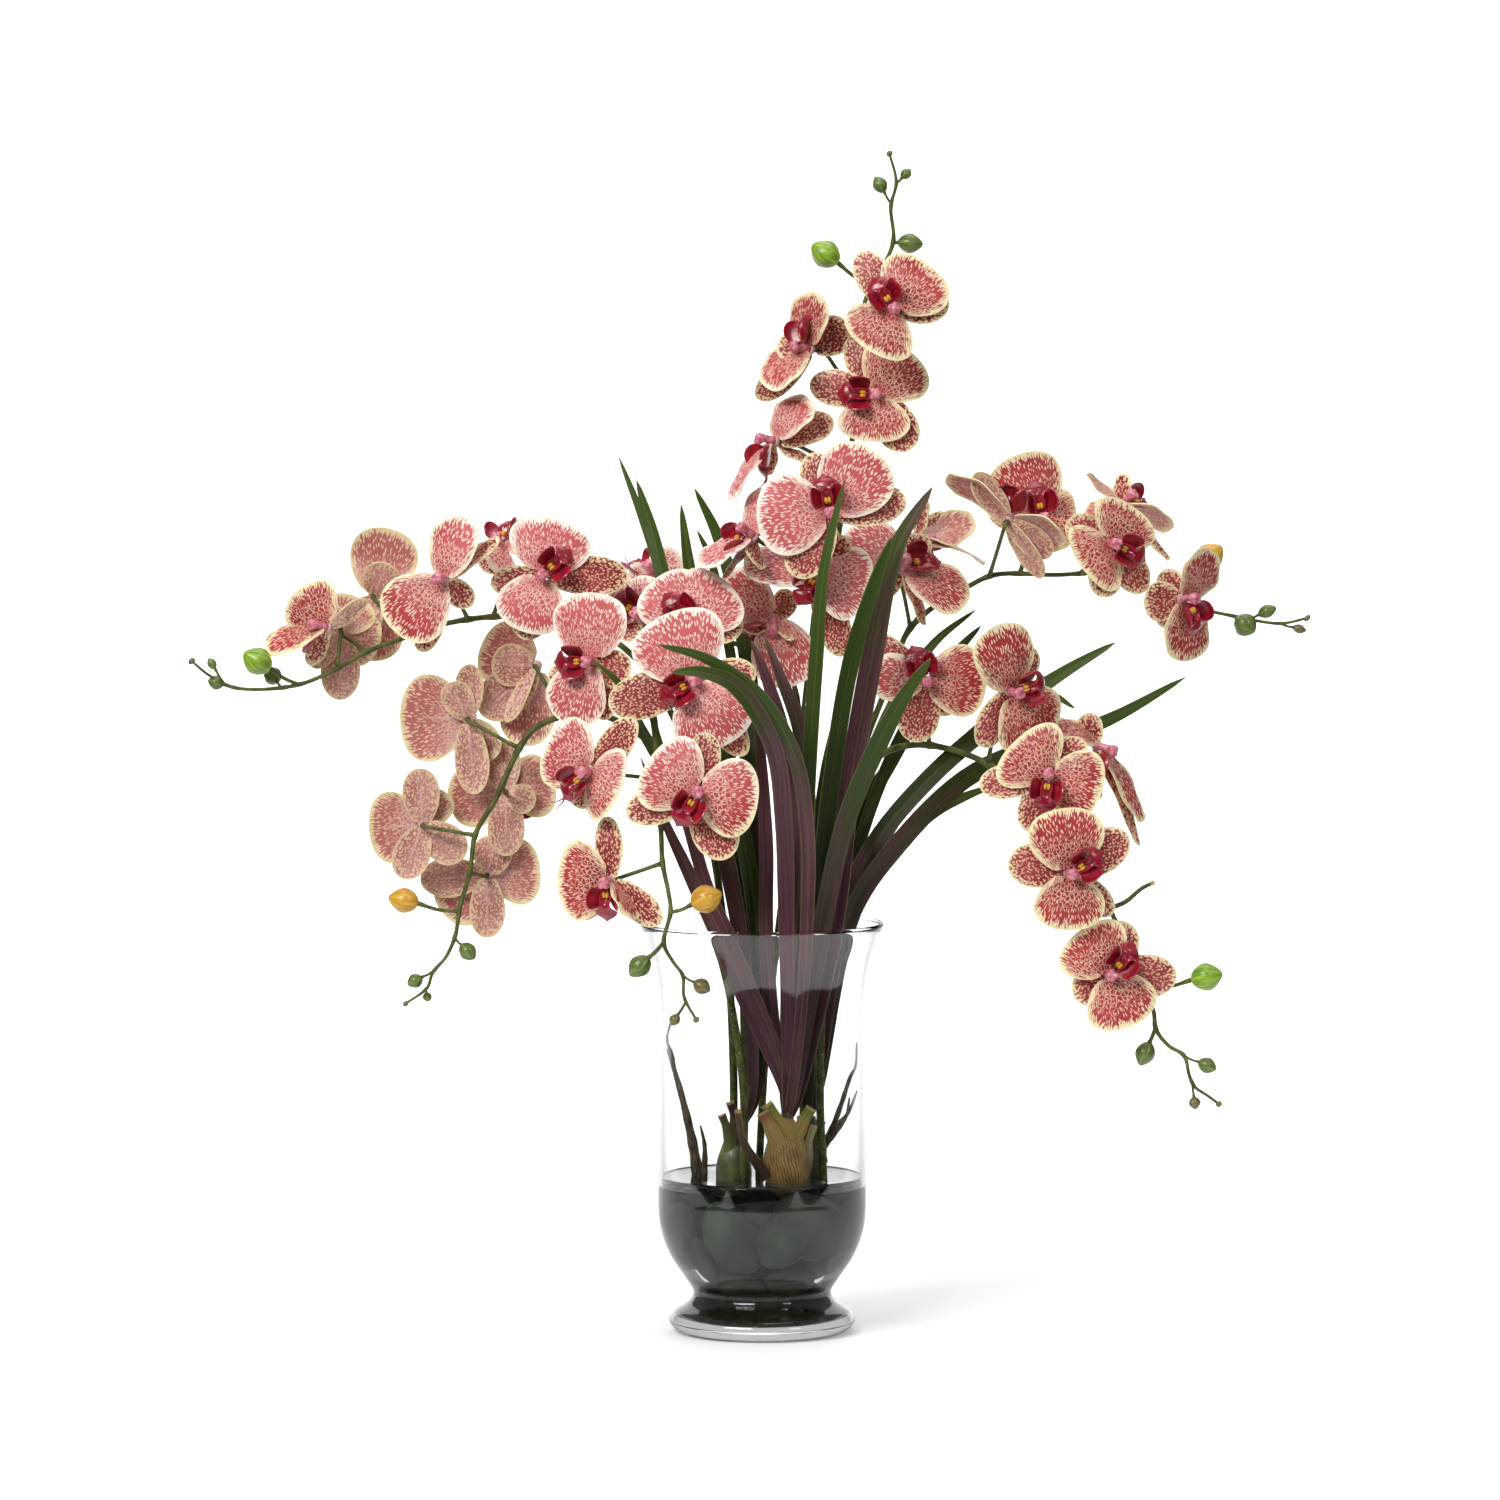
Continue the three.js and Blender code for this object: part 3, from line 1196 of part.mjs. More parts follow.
function addNode(name, shape, material) {
  const mesh = shape.getMesh();
  const places = new Float32Array(mesh.numVert * 3);
  for (let i = 0; i < mesh.numVert; i += 1) {
    places.set(mesh.vertProperties.subarray(i * mesh.numProp, i * mesh.numProp + 3), i * 3);
  }
  const geometry = new THREE.BufferGeometry();
  geometry.setAttribute("position", new THREE.BufferAttribute(places, 3));
  geometry.setIndex(new THREE.BufferAttribute(new Uint32Array(mesh.triVerts), 1));
  const node = new THREE.Mesh(geometry, new THREE.MeshStandardMaterial(MATERIALS[material]));
  node.name = name;
  group.add(node);
}

addNode("vase", makeVase(), "glass");
addNode("water", makeWater(), "water");
addNode("stone_bed", makeStones(0), "stone");
Object.entries(BULBS).forEach(([name, bulb]) => addNode(name, makeBulb(bulb), "bulb"));
Object.entries(ROOTS).forEach(([name, branches]) => addNode(name, makeRoot(branches), "root"));
Object.entries(LEAVES).forEach(([name, leaves]) => addNode(name, makeLeaves(leaves), "leaf"));
Object.entries(SPRAYS).forEach(([name, spray]) => addNode(name, makeSpray(name, spray), "stem"));
Object.entries(BLOOMS).forEach(([name, bloom]) => addNode(name, makeBloom(bloom), "petal"));

export default group;
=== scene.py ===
import math
import random

import bmesh
import bpy
from mathutils import Matrix, Vector


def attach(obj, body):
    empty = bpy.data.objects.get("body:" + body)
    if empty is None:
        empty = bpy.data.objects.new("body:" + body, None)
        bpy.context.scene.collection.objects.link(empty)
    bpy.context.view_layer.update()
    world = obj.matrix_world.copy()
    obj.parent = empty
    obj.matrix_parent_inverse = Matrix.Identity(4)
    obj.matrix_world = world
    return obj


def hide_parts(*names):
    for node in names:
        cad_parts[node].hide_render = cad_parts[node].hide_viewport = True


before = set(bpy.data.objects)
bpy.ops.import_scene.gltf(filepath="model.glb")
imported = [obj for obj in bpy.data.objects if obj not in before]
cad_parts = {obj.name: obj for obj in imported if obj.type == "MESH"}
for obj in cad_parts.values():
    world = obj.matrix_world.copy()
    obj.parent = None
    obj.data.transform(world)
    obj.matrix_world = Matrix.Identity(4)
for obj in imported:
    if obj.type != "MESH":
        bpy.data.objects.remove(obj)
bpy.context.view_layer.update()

MM = 0.001

# Viewing frame of the places read off
VIEW_DISTANCE = 5000
EYE_HEIGHT = 735

# Opening out of the bunch in depth, from a little above the rim
SPREAD = 0.7
SPREAD_FROM = 320
SPREAD_TO = 460

# Driving sizes
WATER_LEVEL = 116
HUB_BACK = 2.4
PETAL_THICKNESS = 0.8
LEAF_THICKNESS = 0.9
GLASS_FLOOR = 8
RIM_FROM = 303.2
PETAL_LIFT = 2
SEPAL_LIFT = -4
LEVEL_STEP = 1.3
CUPPING = 0.06
EDGE_CURL = 0.045
STONE_FLOOR = GLASS_FLOOR + 0.8
STONE_TOP = WATER_LEVEL - 2
STONE_WALL_GAP = 0.7
WATER_FLOOR = GLASS_FLOOR + 0.3

# Outlines of the glass as [radius, height], the outside from the foot up, the inside from the rim down
VASE_OUTSIDE = [
    [60, 0], [66.5, 3.6], [69.5, 9], [66.5, 15], [55, 23], [51.3, 29.5], [57, 40], [67.7, 56],
    [73.8, 70], [76.8, 83], [77.7, 97], [77.7, 240], [79.6, 264], [83.4, 284], [90.4, 304.6],
]

VASE_INSIDE = [
    [89.6, 306], [88, 305], [80.8, 284], [77, 264], [75, 240], [75, 97], [74, 83], [70.9, 70],
    [64.7, 57], [54.2, 42], [47.6, 30], [52.5, 21.5], [62, 14], [61.2, 10.4], [57, 8.4],
    [50, GLASS_FLOOR],
]

# Blooms: hub, direction it faces as [azimuth, elevation], angle of the lip from the right or None,
# place on the stem, and lobes as [right, up, width], the tip lying in the plane of the bloom. Two more
# numbers put the tip at a depth from the hub and tilt the lobe about its length.
BLOOMS = {
    "bloom_a1": {
        "at": [98, 760, -26], "face": [-4, 8], "lip": 125, "stalk": [84, 782, 15],
        "petals": [[124, 793, 56], [78, 730, 56]],
        "sepals": [[71, 803, 27], [138, 767, 28], [86, 736, 24]],
    },
    "bloom_a2": {
        "at": [36, 731, 2], "face": [-62, 12], "lip": 95, "stalk": [67, 700, 20],
        "petals": [[36, 773, 50, 4, 55], [2, 703, 50, 0, -58]],
        "sepals": [[65, 748, 30, 0, -10], [-3, 692, 24, 12, 20], [13, 741, 28, 4, -30]],
    },
    "bloom_a3": {
        "at": [84, 697, -2], "face": [-6, 4], "lip": 178, "stalk": [67, 684, 22],
        "petals": [[110, 729, 56], [82, 662, 54]],
        "sepals": [[35, 706, 28], [110, 657, 32], [66, 742, 26]],
    },
    "bloom_a4": {
        "at": [10, 663, 0], "face": [-62, 4], "lip": 262, "stalk": [62, 642, 29],
        "petals": [[34, 695, 46, 4, 56], [-23, 618, 44, 0, -78]],
        "sepals": [[52, 682, 28, 8, 30], [39, 651, 15, 6, 60], [9, 636, 14, 8, 40]],
    },
    "bloom_a5": {
        "at": [50, 610, -26], "face": [0, 6], "lip": 100, "stalk": [57, 592, 34],
        "petals": [[-4, 607, 60], [84, 655, 58]],
        "sepals": [[107, 620, 30], [24, 563, 34], [37, 655, 28]],
    },
    "bloom_a6": {
        "at": [-6, 592, -12], "face": [-60, 30], "lip": 190, "stalk": [57, 602, 35],
        "petals": [[-48, 570, 44, 0, -70], [12, 628, 44, 10, 50]],
        "sepals": [[-32, 564, 16, 8, -70], [2, 572, 20, -16, 60], [-4, 614, 20, 8, 40]],
    },
    "bloom_b1": {
        "at": [105, 567, 12], "face": [12, 40], "lip": 20, "stalk": [108, 525, 30],
        "petals": [[152, 543, 52, 0, 50], [62, 594, 54, 10, -40]],
        "sepals": [[124, 528, 16, 4, 60], [80, 547, 24, 6, 20], [118, 596, 24, 6, 20]],
    },
    "bloom_b2": {
        "at": [113, 592, 38], "face": [70, -10], "lip": 330, "stalk": [118, 532, 36],
        "petals": [[157, 606, 42, 0, -125], [164, 569, 40, 0, 92]],
        "sepals": [[118, 621, 20, -2, 60], [125, 566, 22, 8, 40], [140, 612, 18, 16, 20]],
    },
    "bloom_b3": {
        "at": [182, 604, 8], "face": [165, 20], "lip": 90, "stalk": [168, 564, 30],
        "petals": [[136, 636, 42, -2, -112], [223, 584, 44, -2, 118]],
        "sepals": [[155, 638, 24, -6, 150], [210, 564, 20, 2, 140], [214, 580, 22, 6, 170]],
    },
    "bloom_b4": {
        "at": [205, 606, 44], "face": [12, 6], "lip": 100, "stalk": [191, 566, 30],
        "petals": [[186, 652, 60], [232, 604, 46]],
        "sepals": [[168, 612, 24], [247, 609, 14, 13, 70], [224, 583, 22, 6, 10]],
    },
    "bloom_b5": {
        "at": [258, 587, -4], "face": [18, 0], "lip": 335, "stalk": [236, 565, 30],
        "petals": [[275, 614, 54], [236, 569, 58]],
        "sepals": [[254, 547, 28], [286, 552, 27], [228, 603, 26]],
    },
    "bloom_b6": {
        "at": [266, 614, 34], "face": [60, 45], "lip": 30, "stalk": [262, 564, 30],
        "petals": [[304, 597, 42, 0, 112], [240, 600, 40, 2, -60]],
        "sepals": [[238, 636, 20, 2, 110], [262, 640, 18, 14, 40], [306, 579, 12, 4, 60]],
    },
    "bloom_b7": {
        "at": [311, 546, 2], "face": [42, 0], "lip": 290, "stalk": [318, 541, 30],
        "petals": [[333, 582, 46, 4, -50], [313, 500, 52, 2, 46]],
        "sepals": [[284, 541, 32, -6, 20], [296, 566, 20, -2, 10], [300, 522, 22, 8, 30]],
    },
    "bloom_c1": {
        "at": [121, 485, -2], "face": [4, 4], "lip": 112, "stalk": [124, 437, 14],
        "petals": [[166, 486, 54], [80, 490, 36]],
        "sepals": [[71, 519, 28], [113, 440, 32], [143, 462, 24]],
    },
    "bloom_c2": {
        "at": [184, 478, -22], "face": [30, -4], "lip": 15, "stalk": [168, 424, 10],
        "petals": [[173, 527, 52], [206, 441, 60]],
        "sepals": [[164, 436, 28], [206, 508, 24], [170, 500, 22]],
    },
    "bloom_c3": {
        "at": [213, 415, -28], "face": [-4, 6], "lip": 262, "stalk": [204, 398, 4],
        "petals": [[188, 441, 60], [252, 402, 54]],
        "sepals": [[161, 408, 26], [196, 374, 26], [238, 442, 24]],
    },
    "bloom_c6": {
        "at": [248, 437, 6], "face": [66, -18], "lip": 240, "stalk": [222, 380, 2],
        "petals": [[281, 380, 30, 2, 66], [211, 452, 36, -2, -66]],
        "sepals": [[238, 461, 20, 4, 20], [284, 364, 12, 10, 50], [256, 398, 16, 10, 50]],
    },
    "bloom_c4": {
        "at": [228, 343, -52], "face": [12, 0], "lip": 32, "stalk": [238, 342, -22],
        "petals": [[223, 391, 58], [227, 300, 54]],
        "sepals": [[273, 370, 32], [184, 351, 32], [262, 311, 22]],
    },
    "bloom_c5": {
        "at": [258, 268, -40], "face": [8, 0], "lip": 50, "stalk": [280, 262, -16],
        "petals": [[236, 300, 56], [273, 228, 54]],
        "sepals": [[309, 264, 32], [271, 306, 32], [235, 247, 28]],
    },
    "bloom_d1": {
        "at": [-163, 564, 16], "face": [4, 4], "lip": 42, "stalk": [-160, 534, 36],
        "petals": [[-153, 605, 62], [-178, 522, 52]],
        "sepals": [[-99, 563, 30], [-201, 557, 22], [-176, 516, 30]],
    },
    "bloom_d2": {
        "at": [-236, 560, 4], "face": [-18, 4], "lip": None, "stalk": [-218, 531, 32],
        "petals": [[-220, 607, 44, 4, 34], [-273, 523, 54, 2, -8]],
        "sepals": [[-197, 594, 20, 4, 55], [-255, 507, 24], [-214, 540, 20, 8, 0]],
    },
    "bloom_d3": {
        "at": [-191, 582, 44], "face": [-40, 50], "lip": 100, "stalk": [-199, 532, 32],
        "petals": [[-168, 598, 30, 4, 20], [-200, 566, 30, -14, 20]],
        "sepals": [[-209, 568, 24, 4, 10], [-194, 591, 18, 4, 0]],
    },
    "bloom_d4": {
        "at": [-288, 548, 64], "face": [178, 0], "lip": 280, "stalk": [-262, 519, 30],
        "petals": [[-275, 598, 52], [-293, 500, 50]],
        "sepals": [[-334, 527, 13, -4, 60], [-278, 574, 28, -6, 170], [-298, 519, 28, -8, 170]],
    },
    "bloom_d5": {
        "at": [-322, 525, 22], "face": [-58, 6], "lip": 200, "stalk": [-315, 495, 22],
        "petals": [[-342, 554, 48, 4, 20], [-367, 506, 40, 0, -62]],
        "sepals": [[-370, 518, 18, 20, -40], [-295, 547, 14, 4, 150], [-334, 495, 16, 4, 20]],
    },
    "bloom_d6": {
        "at": [-312, 521, 46], "face": [180, 0], "lip": 250, "stalk": [-293, 507, 26],
        "petals": [[-301, 548, 40], [-284, 512, 40]],
        "sepals": [[-313, 471, 30, -4, 180], [-334, 496, 18], [-322, 540, 20]],
    },
    "bloom_e1": {
        "at": [-168, 496, 30], "face": [180, -4], "lip": 250, "stalk": [-150, 466, 10],
        "petals": [[-208, 513, 50], [-178, 437, 42]],
        "sepals": [[-201, 498, 32, -5, 180], [-208, 460, 36], [-187, 452, 14, -12, 150]],
    },
    "bloom_e2": {
        "at": [-218, 457, 22], "face": [176, 0], "lip": 232, "stalk": [-180, 435, 5],
        "petals": [[-269, 458, 66], [-205, 424, 34]],
        "sepals": [[-232, 485, 24, -5, 180], [-216, 498, 22], [-213, 401, 26, -4, 180]],
    },
    "bloom_e3": {
        "at": [-190, 403, 29], "face": [176, 0], "lip": 320, "stalk": [-193, 408, 4],
        "petals": [[-233, 396, 46], [-154, 410, 48]],
        "sepals": [[-196, 440, 30, 12, 180], [-190, 355, 28, -4, 180], [-168, 394, 22]],
    },
    "bloom_e4": {
        "at": [-252, 378, 22], "face": [186, 0], "lip": 300, "stalk": [-215, 371, 3],
        "petals": [[-292, 375, 54], [-234, 402, 26]],
        "sepals": [[-254, 421, 28, -4, 180], [-267, 338, 28, -5, 180], [-222, 354, 30]],
    },
    "bloom_e5": {
        "at": [-204, 341, 46], "face": [172, 0], "lip": 210, "stalk": [-217, 342, 2],
        "petals": [[-165, 345, 50], [-238, 312, 44]],
        "sepals": [[-196, 370, 30], [-253, 338, 30], [-204, 294, 27, -5, 180]],
    },
    "bloom_f1": {
        "at": [-126, 500, -10], "face": [-22, 0], "lip": 182, "stalk": [-98, 478, 4],
        "petals": [[-127, 551, 60], [-144, 454, 48]],
        "sepals": [[-99, 490, 28], [-118, 456, 26], [-161, 487, 18]],
    },
    "bloom_f2": {
        "at": [-127, 417, -50], "face": [-34, 2], "lip": 218, "stalk": [-80, 413, -28],
        "petals": [[-157, 442, 58], [-104, 402, 58]],
        "sepals": [[-96, 456, 27], [-143, 393, 26], [-128, 388, 24]],
    },
    "bloom_f3": {
        "at": [-50, 485, -46], "face": [-4, 2], "lip": 208, "stalk": [-77, 462, -20],
        "petals": [[-71, 535, 70], [-26, 438, 62]],
        "sepals": [[-114, 467, 34], [-5, 492, 26], [-13, 430, 26]],
    },
    "bloom_f4": {
        "at": [-48, 402, -72], "face": [0, 4], "lip": 238, "stalk": [-76, 380, -46],
        "petals": [[-84, 427, 60], [-3, 396, 58]],
        "sepals": [[-41, 447, 26], [-101, 386, 28], [-26, 353, 34]],
    },
    "bloom_f5": {
        "at": [-113, 336, -74], "face": [-18, -4], "lip": 268, "stalk": [-75, 347, -60],
        "petals": [[-151, 338, 60], [-98, 306, 30, -11, 66]],
        "sepals": [[-116, 384, 22], [-77, 304, 24], [-140, 308, 20]],
    },
    "bloom_g1": {
        "at": [41, 563, 2], "face": [2, 20], "lip": 240, "stalk": [30, 440, 50],
        "petals": [[-14, 573, 46, 0, -50], [80, 552, 58]],
        "sepals": [[60, 503, 26, 6, 0], [62, 592, 24, -2, 0], [32, 594, 20, 12, 0]],
    },
    "bloom_g2": {
        "at": [8, 532, 22], "face": [-10, -50], "lip": 205, "stalk": [18, 500, 40],
        "petals": [[22, 481, 50, -6, 10], [-28, 563, 40, 2, 10]],
        "sepals": [[26, 549, 24, 8, -30], [-15, 530, 24, -6, -60], [25, 521, 12, -14, 70]],
    },
    "bloom_g3": {
        "at": [-54, 528, -8], "face": [0, 10], "lip": 130, "stalk": [-53, 529, 50],
        "petals": [[-80, 560, 52], [-26, 558, 56]],
        "sepals": [[-14, 528, 30], [-60, 566, 24], [-54, 490, 24]],
    },
    "bloom_g4": {
        "at": [-90, 532, 34], "face": [-20, 20], "lip": 140, "stalk": [-60, 528, 48],
        "petals": [[-110, 552, 40], [-76, 560, 40]],
        "sepals": [[-108, 520, 22], [-70, 515, 22]],
    },
    "bloom_g5": {
        "at": [-82, 560, 56], "face": [-30, 60], "lip": 120, "stalk": [-72, 535, 52],
        "petals": [[-61, 580, 30, 2, 30], [-98, 566, 26, 4, 30]],
        "sepals": [[-104, 548, 22, 6, 10], [-70, 548, 22, 6, 0]],
    },
}

# Sprays: centre line, radius at the foot and at the tip, buds as [right, up, depth, length, width,
# place on the stem], length and width of the last bud, and for one a cut side twig
SPRAYS = {
    "spray_a": {
        "path": [
            [-3, 104, 18], [2, 200, 28], [12, 300, 36], [32, 450, 42], [52, 570, 38],
            [66, 655, 28], [68, 720, 20], [78, 772, 15], [92, 797, 13], [97, 812, 12],
            [95, 836, 12], [99, 854, 12], [94, 875, 12],
        ],
        "radius": [3, 1],
        "buds": [
            [47, 801, 10, 23, 21, [80, 778, 15]],
            [109, 809, 12, 18, 15, [97, 810, 12]],
            [87, 852, 12, 13, 11, [95, 838, 12]],
            [106, 860, 12, 9, 8, [99, 853, 12]],
        ],
        "tip": [5, 4.4],
    },
    "spray_b": {
        "path": [
            [30, 104, 30], [32, 200, 36], [42, 300, 42], [70, 420, 46], [96, 490, 40],
            [108, 522, 32], [124, 538, 30], [152, 555, 30], [172, 564, 30], [216, 564, 30],
            [262, 564, 30], [318, 541, 30], [352, 533, 28], [384, 528, 26], [404, 532, 26],
        ],
        "radius": [3, 1],
        "buds": [
            [331, 577, 27, 23, 21, [300, 552, 30]],
            [358, 527, 24, 18, 18, [350, 534, 28]],
            [374, 537, 26, 14, 10, [360, 531, 28]],
            [398, 524, 26, 10, 7, [384, 528, 26]],
        ],
        "tip": [6, 4],
    },
    "spray_c": {
        "path": [
            [46, 104, -8], [43, 180, -12], [48, 293, -16], [57, 325, -16], [64, 362, -13], [72, 400, -4],
            [88, 430, 8], [116, 438, 14], [148, 432, 12], [172, 421, 8], [204, 398, 4],
            [224, 372, -6], [240, 342, -22], [258, 316, -20], [274, 280, -14], [291, 240, -14],
            [293, 226, -14], [302, 214, -14], [314, 206, -14], [318, 191, -14], [322, 183, -14],
            [332, 176, -14], [340, 170, -14],
        ],
        "radius": [3.2, 1],
        "buds": [
            [330, 265, -22, 23, 21, [284, 256, -14]],
            [285, 208, -14, 18, 15, [292, 227, -14]],
            [331, 199, -14, 14, 12, [313, 206, -14]],
            [322, 171, -14, 9, 9, [320, 186, -14]],
        ],
        "tip": [5, 4.4],
        "stub": [[258, 316, -20], [270, 321, -20], [282, 331, -20], [290, 335, -20]],
    },
    "spray_d": {
        "path": [
            [-14, 104, 4], [-13, 200, 12], [-19, 300, 24], [-50, 420, 36], [-92, 500, 42],
            [-140, 530, 40], [-199, 533, 34], [-242, 526, 32], [-269, 516, 30], [-293, 507, 26],
            [-316, 494, 22], [-342, 483, 20], [-372, 479, 20], [-394, 481, 20], [-411, 490, 20],
            [-423, 500, 20],
        ],
        "radius": [3, 1],
        "buds": [
            [-374, 500, 12, 23, 21, [-344, 484, 20]],
            [-363, 489, 27, 15, 14, [-356, 480, 20]],
            [-405, 484, 22, 12, 11, [-392, 481, 20]],
            [-408, 498, 18, 9, 7, [-398, 483, 20]],
        ],
        "tip": [6, 4.4],
    },
    "spray_e": {
        "path": [
            [-22, 104, 14], [-21.5, 200, 14], [-28, 300, 14], [-46, 390, 18], [-84, 440, 20],
            [-126, 462, 12], [-155, 457, 6], [-171, 448, 5], [-181, 434, 4], [-189, 417, 4],
            [-198, 397, 3], [-213, 371, 3], [-217, 344, 2], [-225, 315, 2], [-228, 296, 2],
            [-235, 280, 2], [-245, 268, 2], [-249, 257, 2], [-265, 245, 2],
        ],
        "radius": [3.2, 1],
        "buds": [
            [-266, 322, 4, 22, 19, [-226, 314, 2]],
            [-219, 284, -4, 15, 13, [-228, 294, 2]],
            [-258, 262, 4, 12, 11, [-243, 270, 2]],
            [-249, 250, 8, 8, 7, [-250, 256, 2]],
        ],
        "tip": [5, 4],
    },
    "spray_f": {
        "path": [
            [-14, 104, -30], [-14, 180, -24], [-22, 240, -22], [-36, 300, -22], [-62, 400, -12],
            [-78, 446, -16], [-82, 464, -24], [-79, 440, -30], [-77, 400, -36], [-75, 372, -50],
            [-74, 350, -66], [-70, 330, -78], [-68, 314, -84], [-73, 290, -90], [-66, 276, -92],
            [-59, 266, -92], [-58, 250, -92], [-49, 233, -92],
        ],
        "radius": [3, 1],
        "buds": [
            [-42, 323, -84, 23, 21, [-68, 313, -84]],
            [-91, 273, -86, 19, 16, [-73, 291, -90]],
            [-45, 258, -90, 13, 12, [-59, 266, -92]],
            [-65, 233, -92, 9, 8, [-58, 246, -92]],
        ],
        "tip": [5, 4.4],
    },
    "spray_g": {
        "path": [
            [16, 104, 30], [18, 200, 38], [22, 300, 46], [28, 420, 50], [20, 490, 46],
            [-18, 512, 46], [-60, 530, 50], [-78, 538, 52],
        ],
        "radius": [3, 1.4],
        "buds": [],
        "tip": [6, 4.4],
    },
}

# Leaves: collar as [bulb, top, radius], and blades as [centre line, width, turn about it]
LEAVES = {
    "leaves_front": {
        "collar": ["bulb_front", [22, 190, -32], 7.6],
        "blades": [
            [[[20, 176, -34], [31, 300, -44], [34, 400, -50], [40, 500, -56], [46, 570, -60],
                [61, 634, -62]], 11, 20],
            [[[23, 176, -28], [40, 300, -30], [50, 400, -32], [66, 500, -35], [84, 560, -38],
                [96, 592, -40]], 14, -25],
            [[[25, 176, -26], [52, 300, -24], [64, 400, -26], [81, 500, -28], [100, 585, -32],
                [126, 629, -36]], 17, 20],
            [[[23, 176, -35], [44, 300, -40], [62, 380, -44], [87, 440, -48], [106, 475, -52],
                [125, 502, -54]], 15, -20],
            [[[22, 176, -38], [33, 300, -52], [33, 380, -60], [22, 435, -68], [-6, 478, -80],
                [-44, 503, -88], [-77, 512, -92]],
                11, 10],
            [[[19, 176, -36], [18, 300, -50], [16, 380, -60], [7, 440, -72], [-20, 482, -84],
                [-45, 492, -90], [-67, 492, -92]],
                13, -10],
            [[[17, 176, -28], [20, 300, -24], [22, 400, -22], [14, 450, -20], [4, 485, -16],
                [-8, 515, -14]], 12, 15],
            [[[20, 176, -26], [28, 300, -18], [34, 400, -14], [28, 450, -10], [15, 485, -8],
                [2, 518, -4]], 12, -20],
            [[[17, 176, -31], [1, 216, -34], [-15, 252, -34], [-31, 290, -33], [-42, 315, -31],
                [-58, 350, -24],
                [-71, 378, -12], [-90, 428, 4]],
                11, 20],
            [[[20, 176, -36], [9, 216, -40], [-6, 252, -41], [-23, 292, -40], [-42, 335, -37],
                [-60, 395, -26],
                [-75, 424, -22], [-91, 452, -26], [-105, 482, -35], [-124, 500, -38]],
                10, 15],
            [[[18, 176, -24], [8, 230, -19], [3, 300, -16], [3, 360, -14], [0, 420, -12],
                [-4, 470, -10]], 12, 30],
        ],
    },
    "leaves_left": {
        "collar": ["bulb_left", [-8, 184, -8], 7],
        "blades": [
            [[[-8, 176, -10], [-16, 292, -12], [-30, 370, -6], [-50, 460, 4], [-71, 550, 18],
                [-81, 595, 24], [-93, 634, 30]],
                14, 25],
            [[[-7, 176, -4], [-12, 292, 0], [-34, 420, 10], [-64, 530, 20], [-88, 604, 26],
                [-106, 651, 30]], 9, 10],
            [[[-7, 176, -8], [-4, 300, -6], [-20, 400, 2], [-40, 500, 12], [-54, 570, 20],
                [-60, 616, 24]], 13, -20],
            [[[-5, 176, -6], [2, 300, 0], [-4, 420, 16], [-14, 520, 36], [-32, 590, 40],
                [-50, 628, 40]], 13, 20],
            [[[-6, 176, -4], [-3, 300, 6], [-12, 420, 20], [-26, 520, 40], [-38, 575, 44],
                [-48, 597, 44]], 8, -15],
        ],
    },
    "leaves_back": {
        "collar": ["bulb_back", [38, 188, 11], 7.6],
        "blades": [
            [[[38, 176, 10], [50, 300, 12], [70, 400, 18], [98, 470, 22], [128, 514, 28],
                [158, 538, 32]], 9, 20],
            [[[38, 176, 14], [56, 300, 18], [84, 400, 26], [120, 475, 34], [145, 508, 38],
                [162, 526, 40]], 10, -20],
            [[[39, 176, 6], [60, 310, 0], [82, 362, 4], [126, 415, 12], [185, 465, 24],
                [224, 492, 30], [262, 514, 32]], 14, 15],
            [[[40, 176, 8], [68, 315, -4], [102, 365, 0], [150, 412, 16], [200, 436, 34],
                [256, 456, 38], [314, 488, 38]], 15, -15],
            [[[40, 176, 12], [64, 300, 6], [92, 350, 6], [124, 385, 10], [152, 400, 16],
                [174, 408, 20]], 9, 10],
            [[[38, 176, 16], [60, 300, 16], [98, 380, 22], [150, 440, 26], [190, 470, 26],
                [214, 475, 26], [232, 465, 26]],
                9, 20],
            [[[35, 176, 16], [48, 300, 22], [66, 380, 28], [90, 415, 32], [116, 456, 36]], 14, -20],
            [[[34, 176, 6], [38, 300, 8], [46, 400, 14], [58, 460, 18], [68, 494, 22]], 13, 30],
        ],
    },
}

